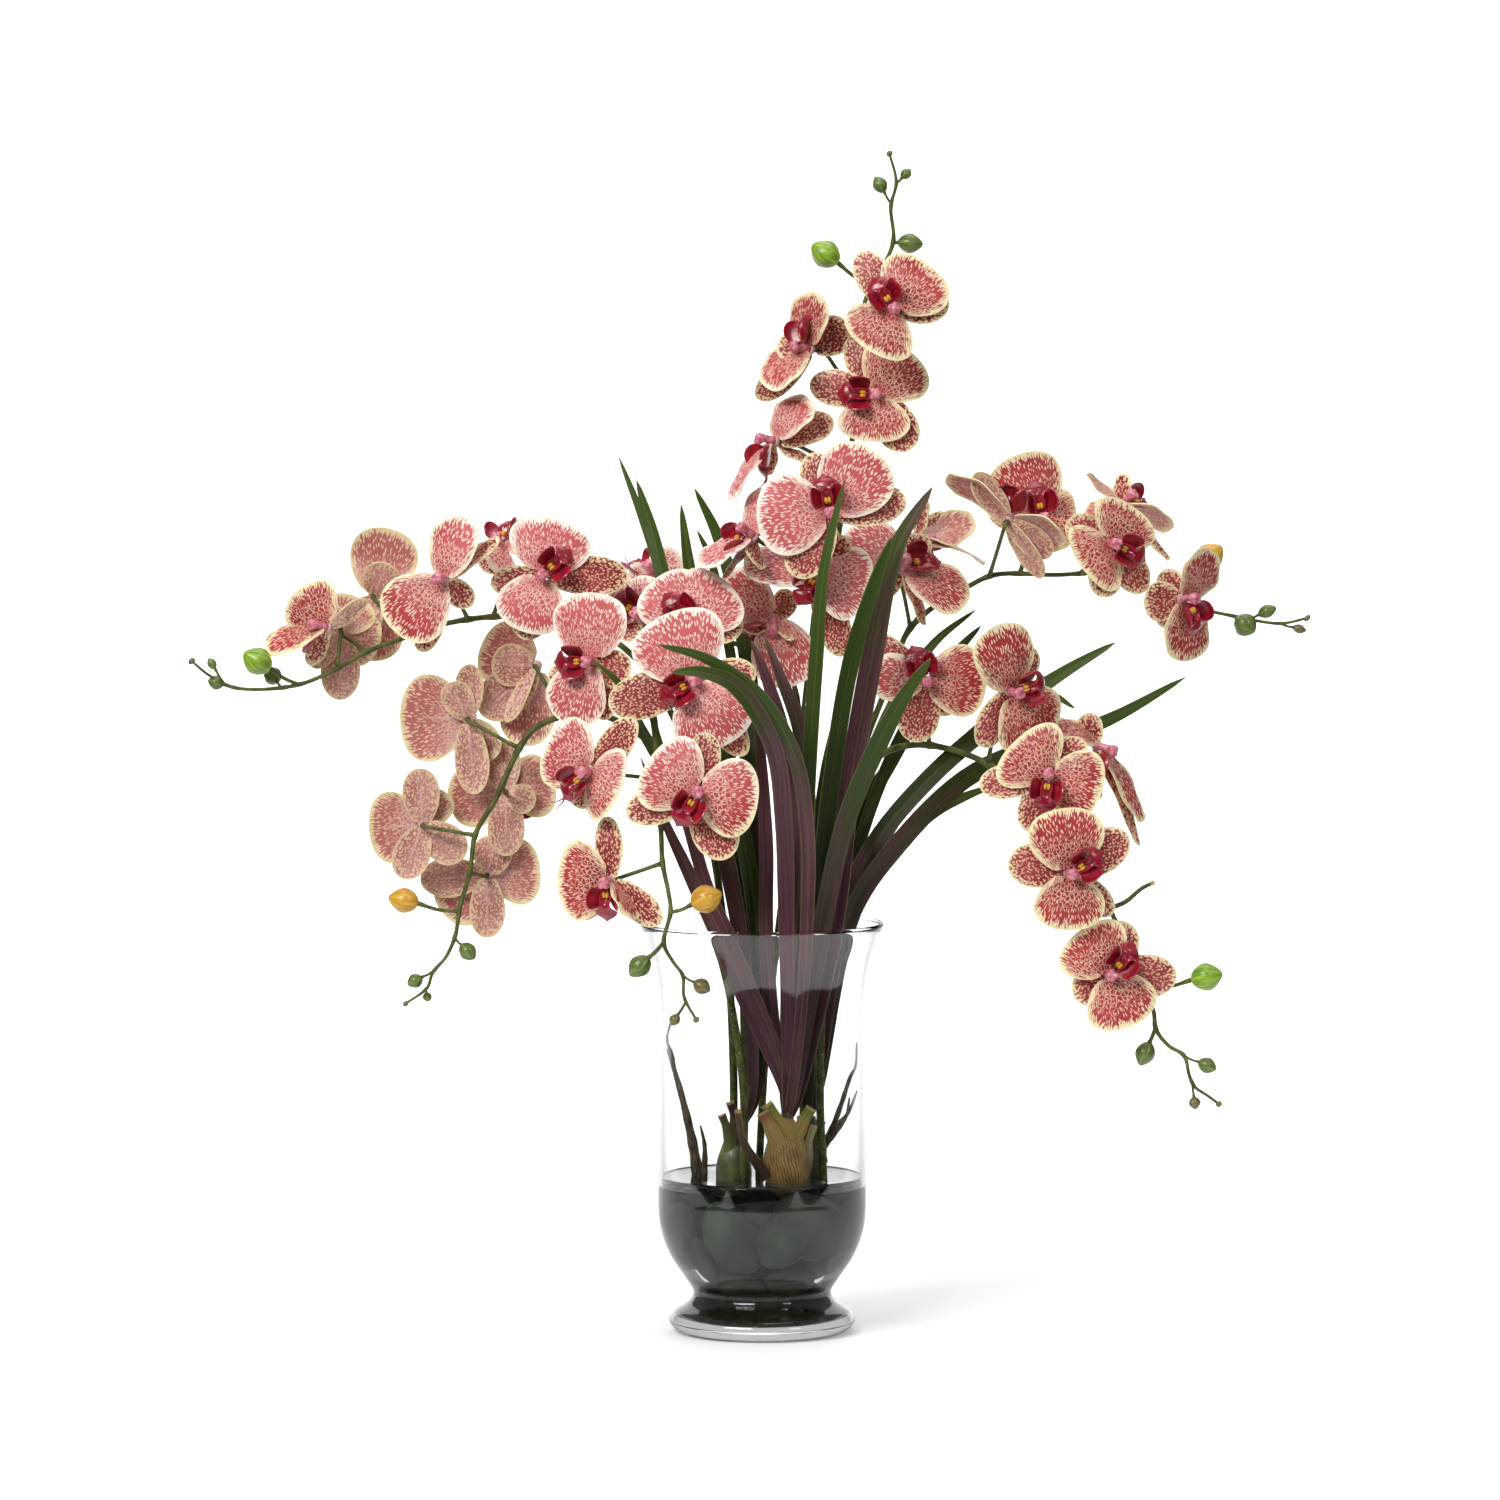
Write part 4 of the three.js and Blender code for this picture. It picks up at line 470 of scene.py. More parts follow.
# Bulbs: place of the centre line at the foot, outline as [radius, height], and cut leaf bases, each
# with its path from the foot up, its width and its tone
BULBS = {
    "bulb_front": {
        "at": [18, -27],
        "outline": [[7, 104], [13, 110], [16.4, 121], [17, 131], [14.8, 143], [10, 154], [5, 163]],
        "sheaths": [
            [[[1.4, 112, -44], [-6, 126, -43], [-12, 138, -40], [-16, 150, -37], [-18, 166, -34]], 5, 2],
            [[[14, 118, -44], [11, 140, -41], [5.5, 154, -38], [0, 164, -38]], 9.5, 1],
            [[[21, 118, -43], [20, 142, -38], [12, 157, -35], [3, 170.5, -36]], 10, 0],
            [[[25, 120, -40], [25, 144, -35], [30, 156, -33], [36.5, 167.5, -34]], 9, 0],
            [[[34, 110, -32], [34.6, 125, -33], [34.2, 140, -31], [38.5, 154.5, -30]], 5.5, 3],
        ],
    },
    "bulb_left": {
        "at": [-21, -14],
        "outline": [[6, 104], [11.5, 110], [13.4, 119], [12.4, 130], [8.4, 142], [6, 150]],
        "sheaths": [
            [[[-24, 128, -27], [-25, 148, -24], [-30, 162.5, -27]], 6.6, 4],
            [[[-20, 130, -27], [-19.4, 147, -23], [-20.5, 160, -26], [-24, 172, -31]], 6.4, 5],
            [[[-22, 130, -26], [-20, 148, -22], [-17.5, 160, -26]], 6, 5],
        ],
    },
    "bulb_back": {
        "at": [33, 10],
        "outline": [[6, 104], [10.5, 110], [12, 122], [11, 136], [8, 150], [7, 160]],
        "sheaths": [
            [[[36, 130, 2], [40, 146, 1], [44, 158, 0]], 8, 3],
        ],
    },
}

# Roots: branches as [centre line, radius at the foot, radius at the end]
ROOTS = {
    "root_left": [
        [[[-47, 105, 8], [-50, 130, 8], [-56, 160, 6], [-65, 194, 4], [-71, 211, 4]], 5.2, 1],
        [[[-66, 197, 4], [-67, 206, 4], [-71, 218, 2], [-68, 232, 2]], 1.9, 0.8],
        [[[-45, 105, 8], [-43, 122, 8], [-43, 140, 6], [-46, 154, 6]], 3.4, 0.8],
    ],
    "root_right": [
        [[[45.9, 126, 15.1], [46, 139, 16], [52, 151, 17], [60, 172, 16], [66, 190, 12],
            [70, 198, 9], [71, 216, 8]], 3.2, 0.8],
        [[[46, 139, 16], [55, 153, 10], [64, 163, 6], [71, 180, 2]], 2.8, 0.8],
        [[[46, 138, 16], [55, 149, 22], [63, 160, 25], [66, 175, 26]], 2.6, 0.8],
    ],
}

# Stones: centre, half sizes along, across and in depth, and lean
STONES = [
    [[-22, 71, -48], 28, 19, 17, -62],
    [[33, 79, -38], 29, 22, 20, -35],
    [[13, 67, -54], 19, 18, 12, 20],
    [[-39, 56, -38], 18, 10, 14, -62],
    [[19, 40, -40], 20, 13, 14, 5],
    [[-55, 78, -26], 20, 14, 18, 80],
    [[58, 82, -22], 15, 13, 16, 60],
    [[50, 58, -30], 14, 11, 14, 70],
    [[-16, 38, -40], 20, 12, 13, -10],
    [[-2, 26, -38], 20, 9, 13, 5],
    [[-30, 27, -22], 20, 11, 16, 20],
    [[30, 27, -22], 18, 10, 16, -15],
    [[0, 84, -18], 22, 14, 18, 0],
    [[18, 23, 10], 21, 14, 22, -10],
    [[0, 38, 8], 34, 20, 32, 0],
    [[4, 74, 2], 40, 28, 34, 0],
    [[-34, 92, 34], 30, 25, 26, 0],
    [[34, 92, 34], 30, 25, 26, 0],
    [[0, 97, 46], 34, 22, 22, 0],
    [[-57, 88, 8], 16, 18, 22, 0],
    [[59, 90, 10], 13, 19, 22, 0],
    [[-36, 13, -18], 23, 8, 24, 0],
    [[36, 13, -16], 23, 8, 24, 0],
    [[0, 10, -38], 25, 8, 20, 0],
    [[-2, 20, 34], 32, 8, 24, 0],
]

UP = Vector((0, 0, 1))
TOWARDS_VIEWER = Vector((0, -1, 0))


# Places and directions


def smooth_share(value, low, high):
    t = min(1.0, max(0.0, (value - low) / (high - low)))
    return t * t * (3 - 2 * t)


def placed(right, up, depth):
    scale = (VIEW_DISTANCE + depth) / VIEW_DISTANCE
    return Vector((right * scale, depth, EYE_HEIGHT + (up - EYE_HEIGHT) * scale))


def seen(place):
    """Turns a place read from the front into X, Y, Z."""
    right, up, depth = place
    return placed(right, up, depth * (1 + SPREAD * smooth_share(up, SPREAD_FROM, SPREAD_TO)))


def facing(angles):
    azimuth, elevation = (math.radians(a) for a in angles)
    flat = math.cos(elevation)
    return Vector((math.sin(azimuth) * flat, -math.cos(azimuth) * flat, math.sin(elevation)))


def on_plane(right, up, centre, normal):
    """Place on the sight line through (right, up) in the plane through a point."""
    eye = Vector((0, -VIEW_DISTANCE, EYE_HEIGHT))
    ray = placed(right, up, 0) - eye
    return eye + ray * (normal.dot(centre - eye) / normal.dot(ray))


def across_to(direction, along):
    """The part of a direction that is square to another, at unit length."""
    return (direction - along * direction.dot(along)).normalized()


def smooth_path(points, steps):
    """Points along the centripetal curve through the given points."""
    last = len(points) - 1
    path = []
    for step in range(steps + 1):
        place = step / steps * last
        i = min(int(place), last - 1)
        t = place - i
        b, c = points[i], points[i + 1]
        a = points[i - 1] if i > 0 else b * 2 - c
        d = points[i + 2] if i + 2 <= last else c * 2 - b
        ab, bc, cd = ((q - p).length ** 0.5 for p, q in ((a, b), (b, c), (c, d)))
        first = ((b - a) / ab - (c - a) / (ab + bc) + (c - b) / bc) * bc
        second = ((c - b) / bc - (d - b) / (bc + cd) + (d - c) / cd) * bc
        path.append(
            b
            + first * t
            + (3 * (c - b) - 2 * first - second) * t**2
            + (2 * (b - c) + first + second) * t**3
        )
    return path


def read_off(table, place):
    """Value at a place in a list of (place, value) pairs, eased between neighbours."""
    if place <= table[0][0]:
        return table[0][1]
    for (low, first), (high, second) in zip(table, table[1:]):
        if place <= high:
            return first + (second - first) * smooth_share(place, low, high)
    return table[-1][1]


def nearest_on(path, place):
    best = path[0]
    for a, b in zip(path, path[1:]):
        share = min(1.0, max(0.0, (place - a).dot(b - a) / (b - a).length_squared))
        near = a.lerp(b, share)
        if (near - place).length < (best - place).length:
            best = near
    return best


# Mesh tools


def fresh():
    """An empty mesh whose corners carry two marks for the materials."""
    work = bmesh.new()
    work.verts.layers.float_vector.new("spot")
    work.verts.layers.float_vector.new("kind")
    return work


def marks(work):
    layers = work.verts.layers.float_vector
    return layers["spot"], layers["kind"]


def each_once(items):
    """The items in their order without repeats, so that each run gives the same mesh."""
    return list(dict.fromkeys(items))


def sheet(work, columns, rows, place, thickness, looks):
    """A curved plate: place(u, v) gives a point with its two marks, looks the two faces' materials."""
    spot, kind = marks(work)
    corners = bmesh.ops.create_grid(work, x_segments=columns, y_segments=rows, size=1)["verts"]
    for corner in corners:
        point, corner[spot], corner[kind] = place(corner.co.x, (corner.co.y + 1) / 2)
        corner.co = point
    back = each_once(face for corner in corners for face in corner.link_faces)
    for face in back:
        face.material_index = looks[0]
        face.normal_update()
    for corner in corners:
        corner.normal_update()
    lean = [corner.normal.copy() for corner in corners]
    whole = back + corners + each_once(edge for face in back for edge in face.edges)
    made = bmesh.ops.extrude_face_region(work, geom=whole, use_keep_orig=True)["geom"]
    front = {item for item in made if isinstance(item, bmesh.types.BMFace)}
    for corner in made:
        if isinstance(corner, bmesh.types.BMVert):
            corner.normal_update()
            corner.co += corner.normal * thickness / 2
    for corner, normal in zip(corners, lean):
        corner.co -= normal * thickness / 2
    for face in back:
        face.material_index = looks[1]
    plain = front | set(back)
    for edge in {e for f in plain for e in f.edges}:
        if any(face not in plain for face in edge.link_faces):
            edge.smooth = False


def ring_place(point, along, side, radius):
    """Puts a unit ring round a point, square to a direction."""
    other = along.cross(side)
    turn = Matrix((side, other, along)).transposed().to_4x4()
    return Matrix.Translation(point) @ turn @ Matrix.Diagonal((radius, radius, 1, 1))


def sweep(work, line, radii, sides, look=0, mark=(0, 0, 0)):
    """A round stalk: a ring pulled along a line and closed at both ends."""
    spot, kind = marks(work)
    side = Vector((0.3, 1, 0.2))
    ring = bmesh.ops.create_circle(work, segments=sides, radius=1, cap_ends=True)["verts"]
    faces = [face for corner in ring for face in corner.link_faces]
    edges = each_once(edge for corner in ring for edge in corner.link_edges)
    length = 0.0
    before = None
    for i, point in enumerate(line):
        ahead, behind = line[min(i + 1, len(line) - 1)], line[max(i - 1, 0)]
        along = (ahead - behind).normalized()
        side = across_to(side, along)
        place = ring_place(point, along, side, radii[i])
        if before is None:
            bmesh.ops.transform(work, matrix=place, verts=ring)
        else:
            length += (point - line[i - 1]).length
            made = bmesh.ops.extrude_edge_only(work, edges=edges)["geom"]
            ring = [item for item in made if isinstance(item, bmesh.types.BMVert)]
            rim = set(ring)
            edges = [item for item in made if isinstance(item, bmesh.types.BMEdge)]
            edges = [edge for edge in edges if set(edge.verts) <= rim]
            bmesh.ops.transform(work, matrix=place @ before.inverted(), verts=ring)
            faces += [face for corner in ring for face in corner.link_faces]
        for corner in ring:
            out = (corner.co - point).normalized()
            angle = math.atan2(out.dot(along.cross(side)), out.dot(side))
            corner[spot] = (math.cos(angle), length, math.sin(angle))
            corner[kind] = mark
        before = place
    faces = each_once(faces + bmesh.ops.edgeloop_fill(work, edges=edges)["faces"])
    for face in faces:
        face.material_index = look
        face.normal_update()
    bmesh.ops.recalc_face_normals(work, faces=faces)


def round_axes(side, along, wide, long):
    """Half-axis vectors of a body that is round about a direction."""
    return [side * wide / 2, along.cross(side) * wide / 2, along * long / 2]


def ball(work, centre, axes, look=0, around=18, rings=12, mark=(0, 0, 0), shape=None):
    """A rounded body from three half-axis vectors, the third joining its poles."""
    spot, kind = marks(work)
    corners = bmesh.ops.create_uvsphere(work, u_segments=around, v_segments=rings, radius=1)["verts"]
    for corner in corners:
        x, y, z = shape(corner.co) if shape else corner.co
        wide = max(0.001, math.hypot(x, y))
        corner[spot] = (x / wide, z, y / wide)
        corner[kind] = mark
        corner.co = centre + axes[0] * x + axes[1] * y + axes[2] * z
    faces = each_once(face for corner in corners for face in corner.link_faces)
    for face in faces:
        face.material_index = look
        face.normal_update()
    bmesh.ops.recalc_face_normals(work, faces=faces)


def lathe(outline, steps):
    """A turned body about the Z axis from a closed outline that starts and ends on the axis."""
    work = fresh()
    corners = [work.verts.new((radius, 0, height)) for radius, height in outline]
    edges = [work.edges.new(pair) for pair in zip(corners, corners[1:])]
    turn = {"cent": (0, 0, 0), "axis": (0, 0, 1), "angle": math.tau}
    bmesh.ops.spin(work, geom=corners + edges, steps=steps, use_merge=True, **turn)
    bmesh.ops.remove_doubles(work, verts=work.verts, dist=0.001)
    bmesh.ops.recalc_face_normals(work, faces=work.faces)
    return work


def add_object(name, data):
    """Puts a mesh, light or camera in the scene."""
    made = bpy.data.objects.new(name, data)
    bpy.context.scene.collection.objects.link(made)
    return made


def smooth_object(name, work, materials):
    """Makes a smooth-shaded object of a mesh in metres."""
    for face in work.faces:
        face.smooth = True
    mesh = bpy.data.meshes.new(name)
    work.to_mesh(mesh)
    work.free()
    for material in materials:
        mesh.materials.append(material)
    return add_object(name, mesh)


def finish_piece(name, work, materials, nodes):
    """Makes an object of a mesh, in metres, in place of the named solids."""
    bmesh.ops.scale(work, vec=(MM, MM, MM), verts=work.verts)
    made = smooth_object(name, work, materials)
    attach(made, "root")
    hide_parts(*nodes)


# Shader tools


class Value:
    """A shader socket that plain expressions can use."""

    def __init__(self, paint, socket):
        self.paint = paint
        self.socket = socket

    def maths(self, operation, *values):
        sockets = dict(enumerate(values))
        return self.paint.value("ShaderNodeMath", {"operation": operation}, sockets)

    def __add__(self, other):
        return self.maths("ADD", self, other)

    def __radd__(self, other):
        return self.maths("ADD", other, self)

    def __sub__(self, other):
        return self.maths("SUBTRACT", self, other)

    def __rsub__(self, other):
        return self.maths("SUBTRACT", other, self)

    def __mul__(self, other):
        return self.maths("MULTIPLY", self, other)

    def __rmul__(self, other):
        return self.maths("MULTIPLY", other, self)

    def __truediv__(self, other):
        return self.maths("DIVIDE", self, other)

    def __pow__(self, other):
        return self.maths("POWER", self, other)

    def __abs__(self):
        return self.maths("ABSOLUTE", self)

    def most(self, other):
        return self.maths("MAXIMUM", self, other)

    def sine(self):
        return self.maths("SINE", self)

    def turn_from(self, other):
        """Angle whose opposite and near sides are this value and the other."""
        return self.maths("ARCTAN2", self, other)

    def step(self, low, high):
        """0 below low, 1 above high, eased between."""
        sockets = {"Value": self, "From Min": low, "From Max": high}
        return self.paint.value("ShaderNodeMapRange", {"interpolation_type": "SMOOTHSTEP"}, sockets)


class Paint:
    """A material being made, with the constants of its shader."""

    def __init__(self, name, **constants):
        self.material = bpy.data.materials.new(name)
        self.material.use_nodes = True
        self.tree = self.material.node_tree
        self.shader = self.tree.nodes["Principled BSDF"]
        for key, value in constants.items():
            self.shader.inputs[key.replace("_", " ")].default_value = value

    def node(self, kind, settings=None, sockets=None):
        made = self.tree.nodes.new(kind)
        for key, value in (settings or {}).items():
            setattr(made, key, value)
        for key, value in (sockets or {}).items():
            self.feed(made.inputs[key], value)
        return made

    def feed(self, socket, value):
        if isinstance(value, Value):
            self.tree.links.new(value.socket, socket)
        else:
            socket.default_value = tint(value) if isinstance(value, str) else value

    def value(self, kind, settings=None, sockets=None, output=0):
        return Value(self, self.node(kind, settings, sockets).outputs[output])

    def parts(self, vector):
        split = self.node("ShaderNodeSeparateXYZ", None, {0: vector})
        return [Value(self, split.outputs[i]) for i in range(3)]

    def attribute(self, name):
        return self.parts(self.value("ShaderNodeAttribute", {"attribute_name": name}, None, "Vector"))

    def place(self):
        """Object coordinates in millimetres."""
        sockets = {0: self.value("ShaderNodeTexCoord", None, None, "Object"), "Scale": 1 / MM}
        return self.value("ShaderNodeVectorMath", {"operation": "SCALE"}, sockets, "Vector")

    def vector(self, x, y, z=0.0):
        return self.value("ShaderNodeCombineXYZ", None, {0: x, 1: y, 2: z})

    def noise(self, vector, scale=1.0, detail=2.0, roughness=0.5):
        sockets = {"Vector": vector, "Scale": scale, "Detail": detail, "Roughness": roughness}
        return self.value("ShaderNodeTexNoise", None, sockets)

    def cells(self, vector, feature="F1", randomness=1.0):
        """Distance to the nearest cell's point, or to its edge."""
        settings = {"feature": feature, "voronoi_dimensions": "2D"}
        sockets = {"Vector": vector, "Scale": 1.0, "Randomness": randomness}
        return self.value("ShaderNodeTexVoronoi", settings, sockets, "Distance")

    def mix(self, factor, first, second):
        """Colour between two colours."""
        sockets = {0: factor, 6: first, 7: second}
        return self.value("ShaderNodeMix", {"data_type": "RGBA"}, sockets, 2)

    def bump(self, height, strength, distance):
        sockets = {"Height": height, "Strength": strength, "Distance": distance}
        self.feed(self.shader.inputs["Normal"], self.value("ShaderNodeBump", None, sockets))

    def set(self, key, value):
        self.feed(self.shader.inputs[key], value)


def tint(code):
    """Linear colour from a #rrggbb code."""
    parts = [int(code[i : i + 2], 16) / 255 for i in (1, 3, 5)]
    return tuple(p / 12.92 if p <= 0.04045 else ((p + 0.055) / 1.055) ** 2.4 for p in parts) + (1.0,)


# Materials of the blooms. The mark "spot" holds millimetres across and along a lobe and in from
# its margin, and "kind" holds a seed and the share of the lobe's length.

# How far behind the hub the marks of a petal fan out from
FAN = 15.0


def lobe_places(paint):
    """Fan coordinates of a lobe: direction from behind the hub, and reach."""
    across, along, margin = paint.attribute("spot")
    seed, share, _ = paint.attribute("kind")
    behind = along + FAN
    fan = across / behind
    reach = (behind * behind + across * across) ** 0.5
    return fan, reach, margin, seed, share


def petal_pattern(paint, fine, seed_step):
    """How red a petal is, from a net of cells at its foot to rays at its margin, and its marks."""
    fan, reach, margin, seed, share = lobe_places(paint)
    start = seed * 40 + seed_step
    warp = paint.noise(paint.vector(fan * 7 + start, reach * 0.12), 1.0, 2.0) - 0.5
    # net of pale lines between rounded cells, close to the foot
    cell = paint.cells(paint.vector(fan * 9 + start + warp * 0.8, reach * 0.3 + warp), "DISTANCE_TO_EDGE")
    uneven = paint.noise(paint.vector(fan * 20 + start, reach * 0.7), 1.0, 1.0) - 0.5
    net = 1 - (cell - uneven * 0.14).step(0.01, 0.17)
    net = net * (1 - reach.step(FAN + 14, FAN + 34)) * 0.75
    # pale dashes that run outward, longer and wider towards the margin
    dash_place = paint.vector(fan * 31 * fine + start + warp * 2.6, reach * 0.16 + start + uneven * 0.3)
    dash = paint.cells(dash_place, "F1", 0.9)
    size = reach.step(FAN + 8, FAN + 42) * 0.05 + 0.18 + (1 - margin.step(2.0, 9.0)) * 0.1
    size = size + (paint.noise(paint.vector(fan * 4 + start, reach * 0.07), 1.0, 1.0) - 0.5) * 0.22
    dashes = (size - dash + uneven * 0.16).step(-0.07, 0.07)
    dashes = dashes * reach.step(FAN + 4, FAN + 15)
    # fine rays of red that run out into the margin
    ray = paint.noise(paint.vector(fan * 50 * fine + start, reach * 0.07 + start), 1.0, 1.0, 0.5)
    clear = share.step(0.15, 0.9) * 0.6 + 0.3
    rays = (margin - clear - (ray - 0.38).most(0.0) * 17).step(-0.7, 1.3)
    return rays * (1 - dashes.most(net)), net, margin, share


def sunlit(paint):
    """Painted light: how far a bloom lies in the lit upper left of the bunch, where its petals are painted
    paler.
    """
    x, _, z = paint.parts(paint.place())
    across, up = (x + 60) / 210, (z - 560) / 170
    return 1 - (across * across + up * up).step(0.35, 1.2)


def petal_face():
    paint = Paint("petal_face", Roughness=0.46, Specular_IOR_Level=0.32)
    red, net, margin, share = petal_pattern(paint, 1.0, 0.0)
    cloud = paint.noise(paint.place(), 0.035, 2.0)
    light = sunlit(paint)
    deep = paint.mix(share.step(0.05, 0.75), "#7f1c24", "#a33236")
    ground = paint.mix(cloud.step(0.35, 0.7), deep, "#b23b3f")
    # painted light: paler ground and cream where the bunch is lit, at its upper left
    ground = paint.mix(light * 0.75, ground, "#d06468")
    cream = paint.mix(margin.step(0.5, 9.0), "#f6e7b8", "#f2d2b6")
    cream = paint.mix(light * 0.8, cream, "#fff0e4")
    cream = paint.mix(net * (1 - share.step(0.1, 0.5)), cream, "#d8968c")
    paint.set("Base Color", paint.mix(red, cream, ground))
    fan, reach, *_ = lobe_places(paint)
    ribs = paint.noise(paint.vector(fan * 26, reach * 0.05), 1.0, 2.0)
    paint.bump(ribs + red * 0.25, 0.35, 0.0006)
    return paint.material


def petal_back():
    paint = Paint("petal_back", Roughness=0.52, Sheen_Weight=0.08)
    red, _, margin, share = petal_pattern(paint, 0.9, 7.0)
    across = paint.attribute("spot")[0]
    rib = (1 - abs(across).step(0.3, 1.6)) * (1 - share.step(0.45, 0.8))
    ground = paint.mix(share.step(0.0, 0.6), "#c4878c", "#ae625b")
    cream = paint.mix(margin.step(0.5, 6.0), "#e0cf9c", "#dfbfa4")
    shown = paint.mix(red, cream, ground)
    paint.set("Base Color", paint.mix(rib * 0.6, shown, "#d9b0ab"))
    fan, reach, *_ = lobe_places(paint)
    ribs = paint.noise(paint.vector(fan * 22, reach * 0.04), 1.0, 2.0)
    paint.bump(ribs + rib * 0.6, 0.4, 0.0008)
    return paint.material


def sepal_pattern(paint, seed_step):
    """How cream a sepal is, from scattered dots that crowd towards its margin, and its marks."""
    across, along, margin = paint.attribute("spot")
    seed, share, _ = paint.attribute("kind")
    start = seed * 40 + seed_step
    warp = paint.noise(paint.vector(across * 0.45 + start, along * 0.45), 1.0, 2.0) - 0.5
    dot = paint.cells(paint.vector(across / 1.9 + start + warp * 0.9, along / 2.6 + warp * 1.2))
    chance = paint.noise(paint.vector(across * 0.28 + start, along * 0.28 + start), 1.0, 1.0) - 0.5
    size = 0.25 + (1 - margin.step(0.5, 8.0)) * 0.2 + chance * 0.5 + share.step(0.3, 1.0) * 0.06
    dots = (size - dot).step(-0.1, 0.12)
    ray = paint.noise(paint.vector(across * 0.9 + start, along * 0.9), 1.0, 2.0, 0.6)
    edge = 1 - (margin - 0.5 - (ray - 0.42).most(0.0) * 8).step(-0.4, 0.7)
    return dots.most(edge), margin, share


def sepal_face():
    paint = Paint("sepal_face", Roughness=0.46, Specular_IOR_Level=0.32)
    pale, margin, _ = sepal_pattern(paint, 3.0)
    cloud = paint.noise(paint.place(), 0.05, 2.0)
    ground = paint.mix(cloud.step(0.3, 0.7), "#84292f", "#a3444a")
    cream = paint.mix(margin.step(0.5, 6.0), "#efdfb0", "#e3b795")
    paint.set("Base Color", paint.mix(pale, ground, cream))
    paint.bump(cloud + pale * 0.1, 0.3, 0.0006)
    return paint.material


def sepal_back():
    paint = Paint("sepal_back", Roughness=0.52, Sheen_Weight=0.08)
    pale, _, share = sepal_pattern(paint, 9.0)
    across = paint.attribute("spot")[0]
    rib = (1 - abs(across).step(0.3, 1.4)) * (1 - share.step(0.55, 0.85))
    cloud = paint.noise(paint.place(), 0.05, 2.0)
    ground = paint.mix(cloud.step(0.3, 0.7), "#a4625f", "#bb817d")
    shown = paint.mix(pale * 0.85, ground, "#dcc195")
    paint.set("Base Color", paint.mix(rib * 0.55, shown, "#d3a5a4"))
    paint.bump(cloud + rib * 0.5, 0.35, 0.0008)
    return paint.material


def lip_red():
    paint = Paint("lip_red", Roughness=0.3, Coat_Weight=0.35, Coat_Roughness=0.2)
    across, along, margin = paint.attribute("spot")
    veins = paint.noise(paint.vector(across * 0.9, along * 0.14), 1.0, 2.0)
    cloud = paint.noise(paint.place(), 0.16, 2.0)
    deep = paint.mix(veins.step(0.35, 0.65), "#6e0516", "#930c24")
    shown = paint.mix(cloud.step(0.45, 0.75), deep, "#a8142f")
    paint.set("Base Color", paint.mix((1 - margin.step(0.2, 2.2)) * 0.45, shown, "#bb2a48"))
    paint.bump(veins, 0.3, 0.0005)
    return paint.material


def callus_yellow():
    paint = Paint("callus_yellow", Roughness=0.38, Coat_Weight=0.2, Coat_Roughness=0.3)
    dots = paint.noise(paint.place(), 1.3, 2.0)
    paint.set("Base Color", paint.mix(dots.step(0.55, 0.68), "#dda42f", "#86471b"))
    return paint.material


def column_pink():
    paint = Paint("column_pink", Roughness=0.36, Coat_Weight=0.25, Coat_Roughness=0.25)
    lumps = paint.noise(paint.place(), 0.3, 2.0)
    fine = paint.noise(paint.place(), 1.6, 2.0)
    shown = paint.mix(lumps.step(0.3, 0.7), "#b43e5c", "#dc8f9c")
    paint.set("Base Color", paint.mix(fine.step(0.55, 0.7) * 0.5, shown, "#eec0c2"))
    paint.bump(lumps + fine * 0.2, 0.3, 0.0008)
    return paint.material


def hub_pale():
    paint = Paint("hub_pale", Roughness=0.5)
    cloud = paint.noise(paint.place(), 0.4, 2.0)
    paint.set("Base Color", paint.mix(cloud, "#b98a8c", "#c9a79a"))
    paint.bump(cloud, 0.3, 0.0006)
    return paint.material


# Blooms


def lobe_frame(bloom, lobe):
    """Centre, length vector and face normal of a lobe."""
    centre = seen(bloom["at"])
    if len(lobe) < 5:
        face = facing(bloom["face"])
        return centre, on_plane(lobe[0], lobe[1], centre, face) - centre, face
    length = placed(lobe[0], lobe[1], centre.y + lobe[3]) - centre
    along = length.normalized()
    front = across_to(TOWARDS_VIEWER, along)
    left = TOWARDS_VIEWER.cross(along).normalized()
    tilt = math.radians(lobe[4])
    return centre, length, front * math.cos(tilt) + left * math.sin(tilt)


class Outline:
    """Outline of a lobe: share of the half width against share of the length."""

    SHOULDER = math.radians(40)

    def __init__(self, widest, foot, blunt):
        self.widest = widest
        self.foot = foot
        self.power = 2 / blunt
        self.end_share = self.end(self.SHOULDER)[0]
        self.end_half = self.end(self.SHOULDER)[1]

    def end(self, turn):
        along = self.widest + (1 - self.widest) * math.sin(turn) ** self.power
        return along, math.cos(turn) ** self.power

    def half(self, share):
        if share < self.widest:
            swell = math.sin(math.pi / 2 * share / self.widest)
            return self.foot + (1 - self.foot) * swell**0.75
        beyond = (share - self.widest) / (1 - self.widest)
        return (1 - beyond ** (2 / self.power)) ** (self.power / 2)

    def at(self, u, v):
        """Shares along and across for the grid place (u, v)."""
        edge = self.end_share * v
        turn = math.pi / 2 - (math.pi / 2 - self.SHOULDER) * abs(u)
        along, across = self.end(turn)
        bulge = (along - self.end_share) * v * v
        return edge + bulge, math.copysign(self.half(edge) * across / self.end_half, u)


PETAL = Outline(0.56, 0.36, 2.2)
SEPAL = Outline(0.56, 0.42, 2.0)
LIP_SIDE = Outline(0.55, 0.5, 2.0)
LOBE_COLUMNS = 14
LOBE_ROWS = 18
LOBE_FOOT = 0.06

# Places of the materials of a bloom in its list
PETAL_LOOKS = (0, 1)
SEPAL_LOOKS = (2, 3)
LIP_LOOK = 4
CALLUS_LOOK = 5
COLUMN_LOOK = 6
HUB_LOOK = 7


